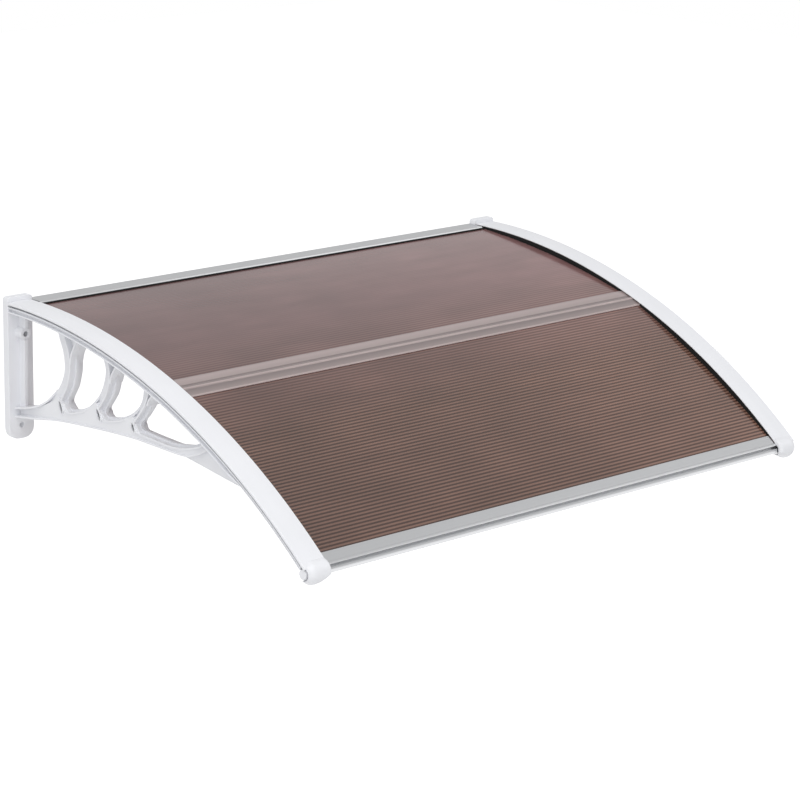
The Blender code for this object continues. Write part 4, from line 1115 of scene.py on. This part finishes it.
def studio_floor():
    """Paper floor well below the canopy, which hangs on its wall."""
    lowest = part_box("cover_left")[0].z - FLOOR_DROP
    work = bmesh.new()
    bmesh.ops.create_grid(work, x_segments=8, y_segments=8, size=9.0,
                          matrix=Matrix.Translation((0, 0, lowest)))
    floor = new_part("floor", work)
    floor.data.materials.append(painted(matt_white_paper))
    floor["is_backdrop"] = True


def softbox(name, place, aim, size, energy):
    lamp = bpy.data.lights.new(name, "AREA")
    lamp.shape = "SQUARE"
    lamp.size = size
    lamp.energy = energy
    item = bpy.data.objects.new(name, lamp)
    item.location = place
    item.rotation_euler = (Vector(place) - Vector(aim)).to_track_quat("Z", "Y").to_euler()
    bpy.context.scene.collection.objects.link(item)


def studio_camera():
    """Camera at the photograph's angle, 125 mm lens, slightly rolled."""
    azimuth = math.radians(-42.2837)
    elevation = math.radians(15.3355)
    roll = math.radians(1.1243)
    place = (-2.77257, -3.38235, 0.98013)
    back = Vector((math.sin(azimuth) * math.cos(elevation), -math.cos(azimuth) * math.cos(elevation),
                   math.sin(elevation)))
    level = Vector((math.cos(azimuth), math.sin(azimuth), 0.0))
    upright = back.cross(level)
    right = level * math.cos(roll) + upright * math.sin(roll)
    up = upright * math.cos(roll) - level * math.sin(roll)
    data = bpy.data.cameras.new("studio_camera")
    data.sensor_width = 36.0
    data.lens = 125.348
    camera = bpy.data.objects.new("studio_camera", data)
    camera.matrix_world = Matrix.Translation(place) @ Matrix((right, up, back)).transposed().to_4x4()
    bpy.context.scene.collection.objects.link(camera)
    bpy.context.scene.camera = camera


class CanopyStudio(bpy.types.Operator):
    """Set up the white floor, the soft light and the camera"""
    bl_idname = "canopy.studio"
    bl_label = "Studio"

    def execute(self, context):
        studio_world()
        studio_floor()
        softbox("key", (-1.6, -1.8, 3.2), (0, -0.3, 0), 2.4, 44)
        softbox("side_fill", (-3.4, -0.6, 0.8), (0, -0.3, 0), 2.0, 9)
        softbox("front_fill", (-1.8, -3.8, 0.3), (0, -0.5, -0.1), 1.8, 11)
        softbox("rim", (2.1, -1.95, 1.55), (0, -0.1, 0), 1.3, 6)
        studio_camera()
        context.scene.view_settings.view_transform = "Standard"
        return {"FINISHED"}


class CanopyPanel(bpy.types.Panel):
    """Lists the canopy's sizes, colours and pieces"""
    bl_idname = "VIEW3D_PT_canopy"
    bl_label = "Door canopy"
    bl_space_type = "VIEW_3D"
    bl_region_type = "UI"
    bl_category = "Canopy"

    def draw(self, context):
        for group in (context.scene.canopy_sizes, context.scene.canopy_colours):
            for name in group.__annotations__:
                self.layout.prop(group, name)
        for operator in OPERATORS:
            self.layout.operator(operator.bl_idname)


OPERATORS = (CanopyBrackets, CanopyCovers, CanopySheets, CanopyJoint, CanopyBars, CanopySeals, CanopyScrews,
             CanopyStudio)
CLASSES = (CanopySizes, CanopyColours, *OPERATORS, CanopyPanel)


def register():
    for item in CLASSES:
        bpy.utils.register_class(item)
    bpy.types.Scene.canopy_sizes = bpy.props.PointerProperty(type=CanopySizes)
    bpy.types.Scene.canopy_colours = bpy.props.PointerProperty(type=CanopyColours)


def unregister():
    del bpy.types.Scene.canopy_colours
    del bpy.types.Scene.canopy_sizes
    for item in reversed(CLASSES):
        bpy.utils.unregister_class(item)


def corners(bounds):
    return [[float(value) for value in corner] for corner in bounds]


def main():
    cad_box = corners(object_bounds())
    register()
    bpy.ops.canopy.brackets()
    bpy.ops.canopy.covers()
    bpy.ops.canopy.sheets()
    bpy.ops.canopy.joint()
    bpy.ops.canopy.bars()
    bpy.ops.canopy.seals()
    bpy.ops.canopy.screws()
    bpy.ops.canopy.studio()
    {"cad": cad_box, "visual": corners(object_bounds())}


if __name__ == "__main__":
    main()
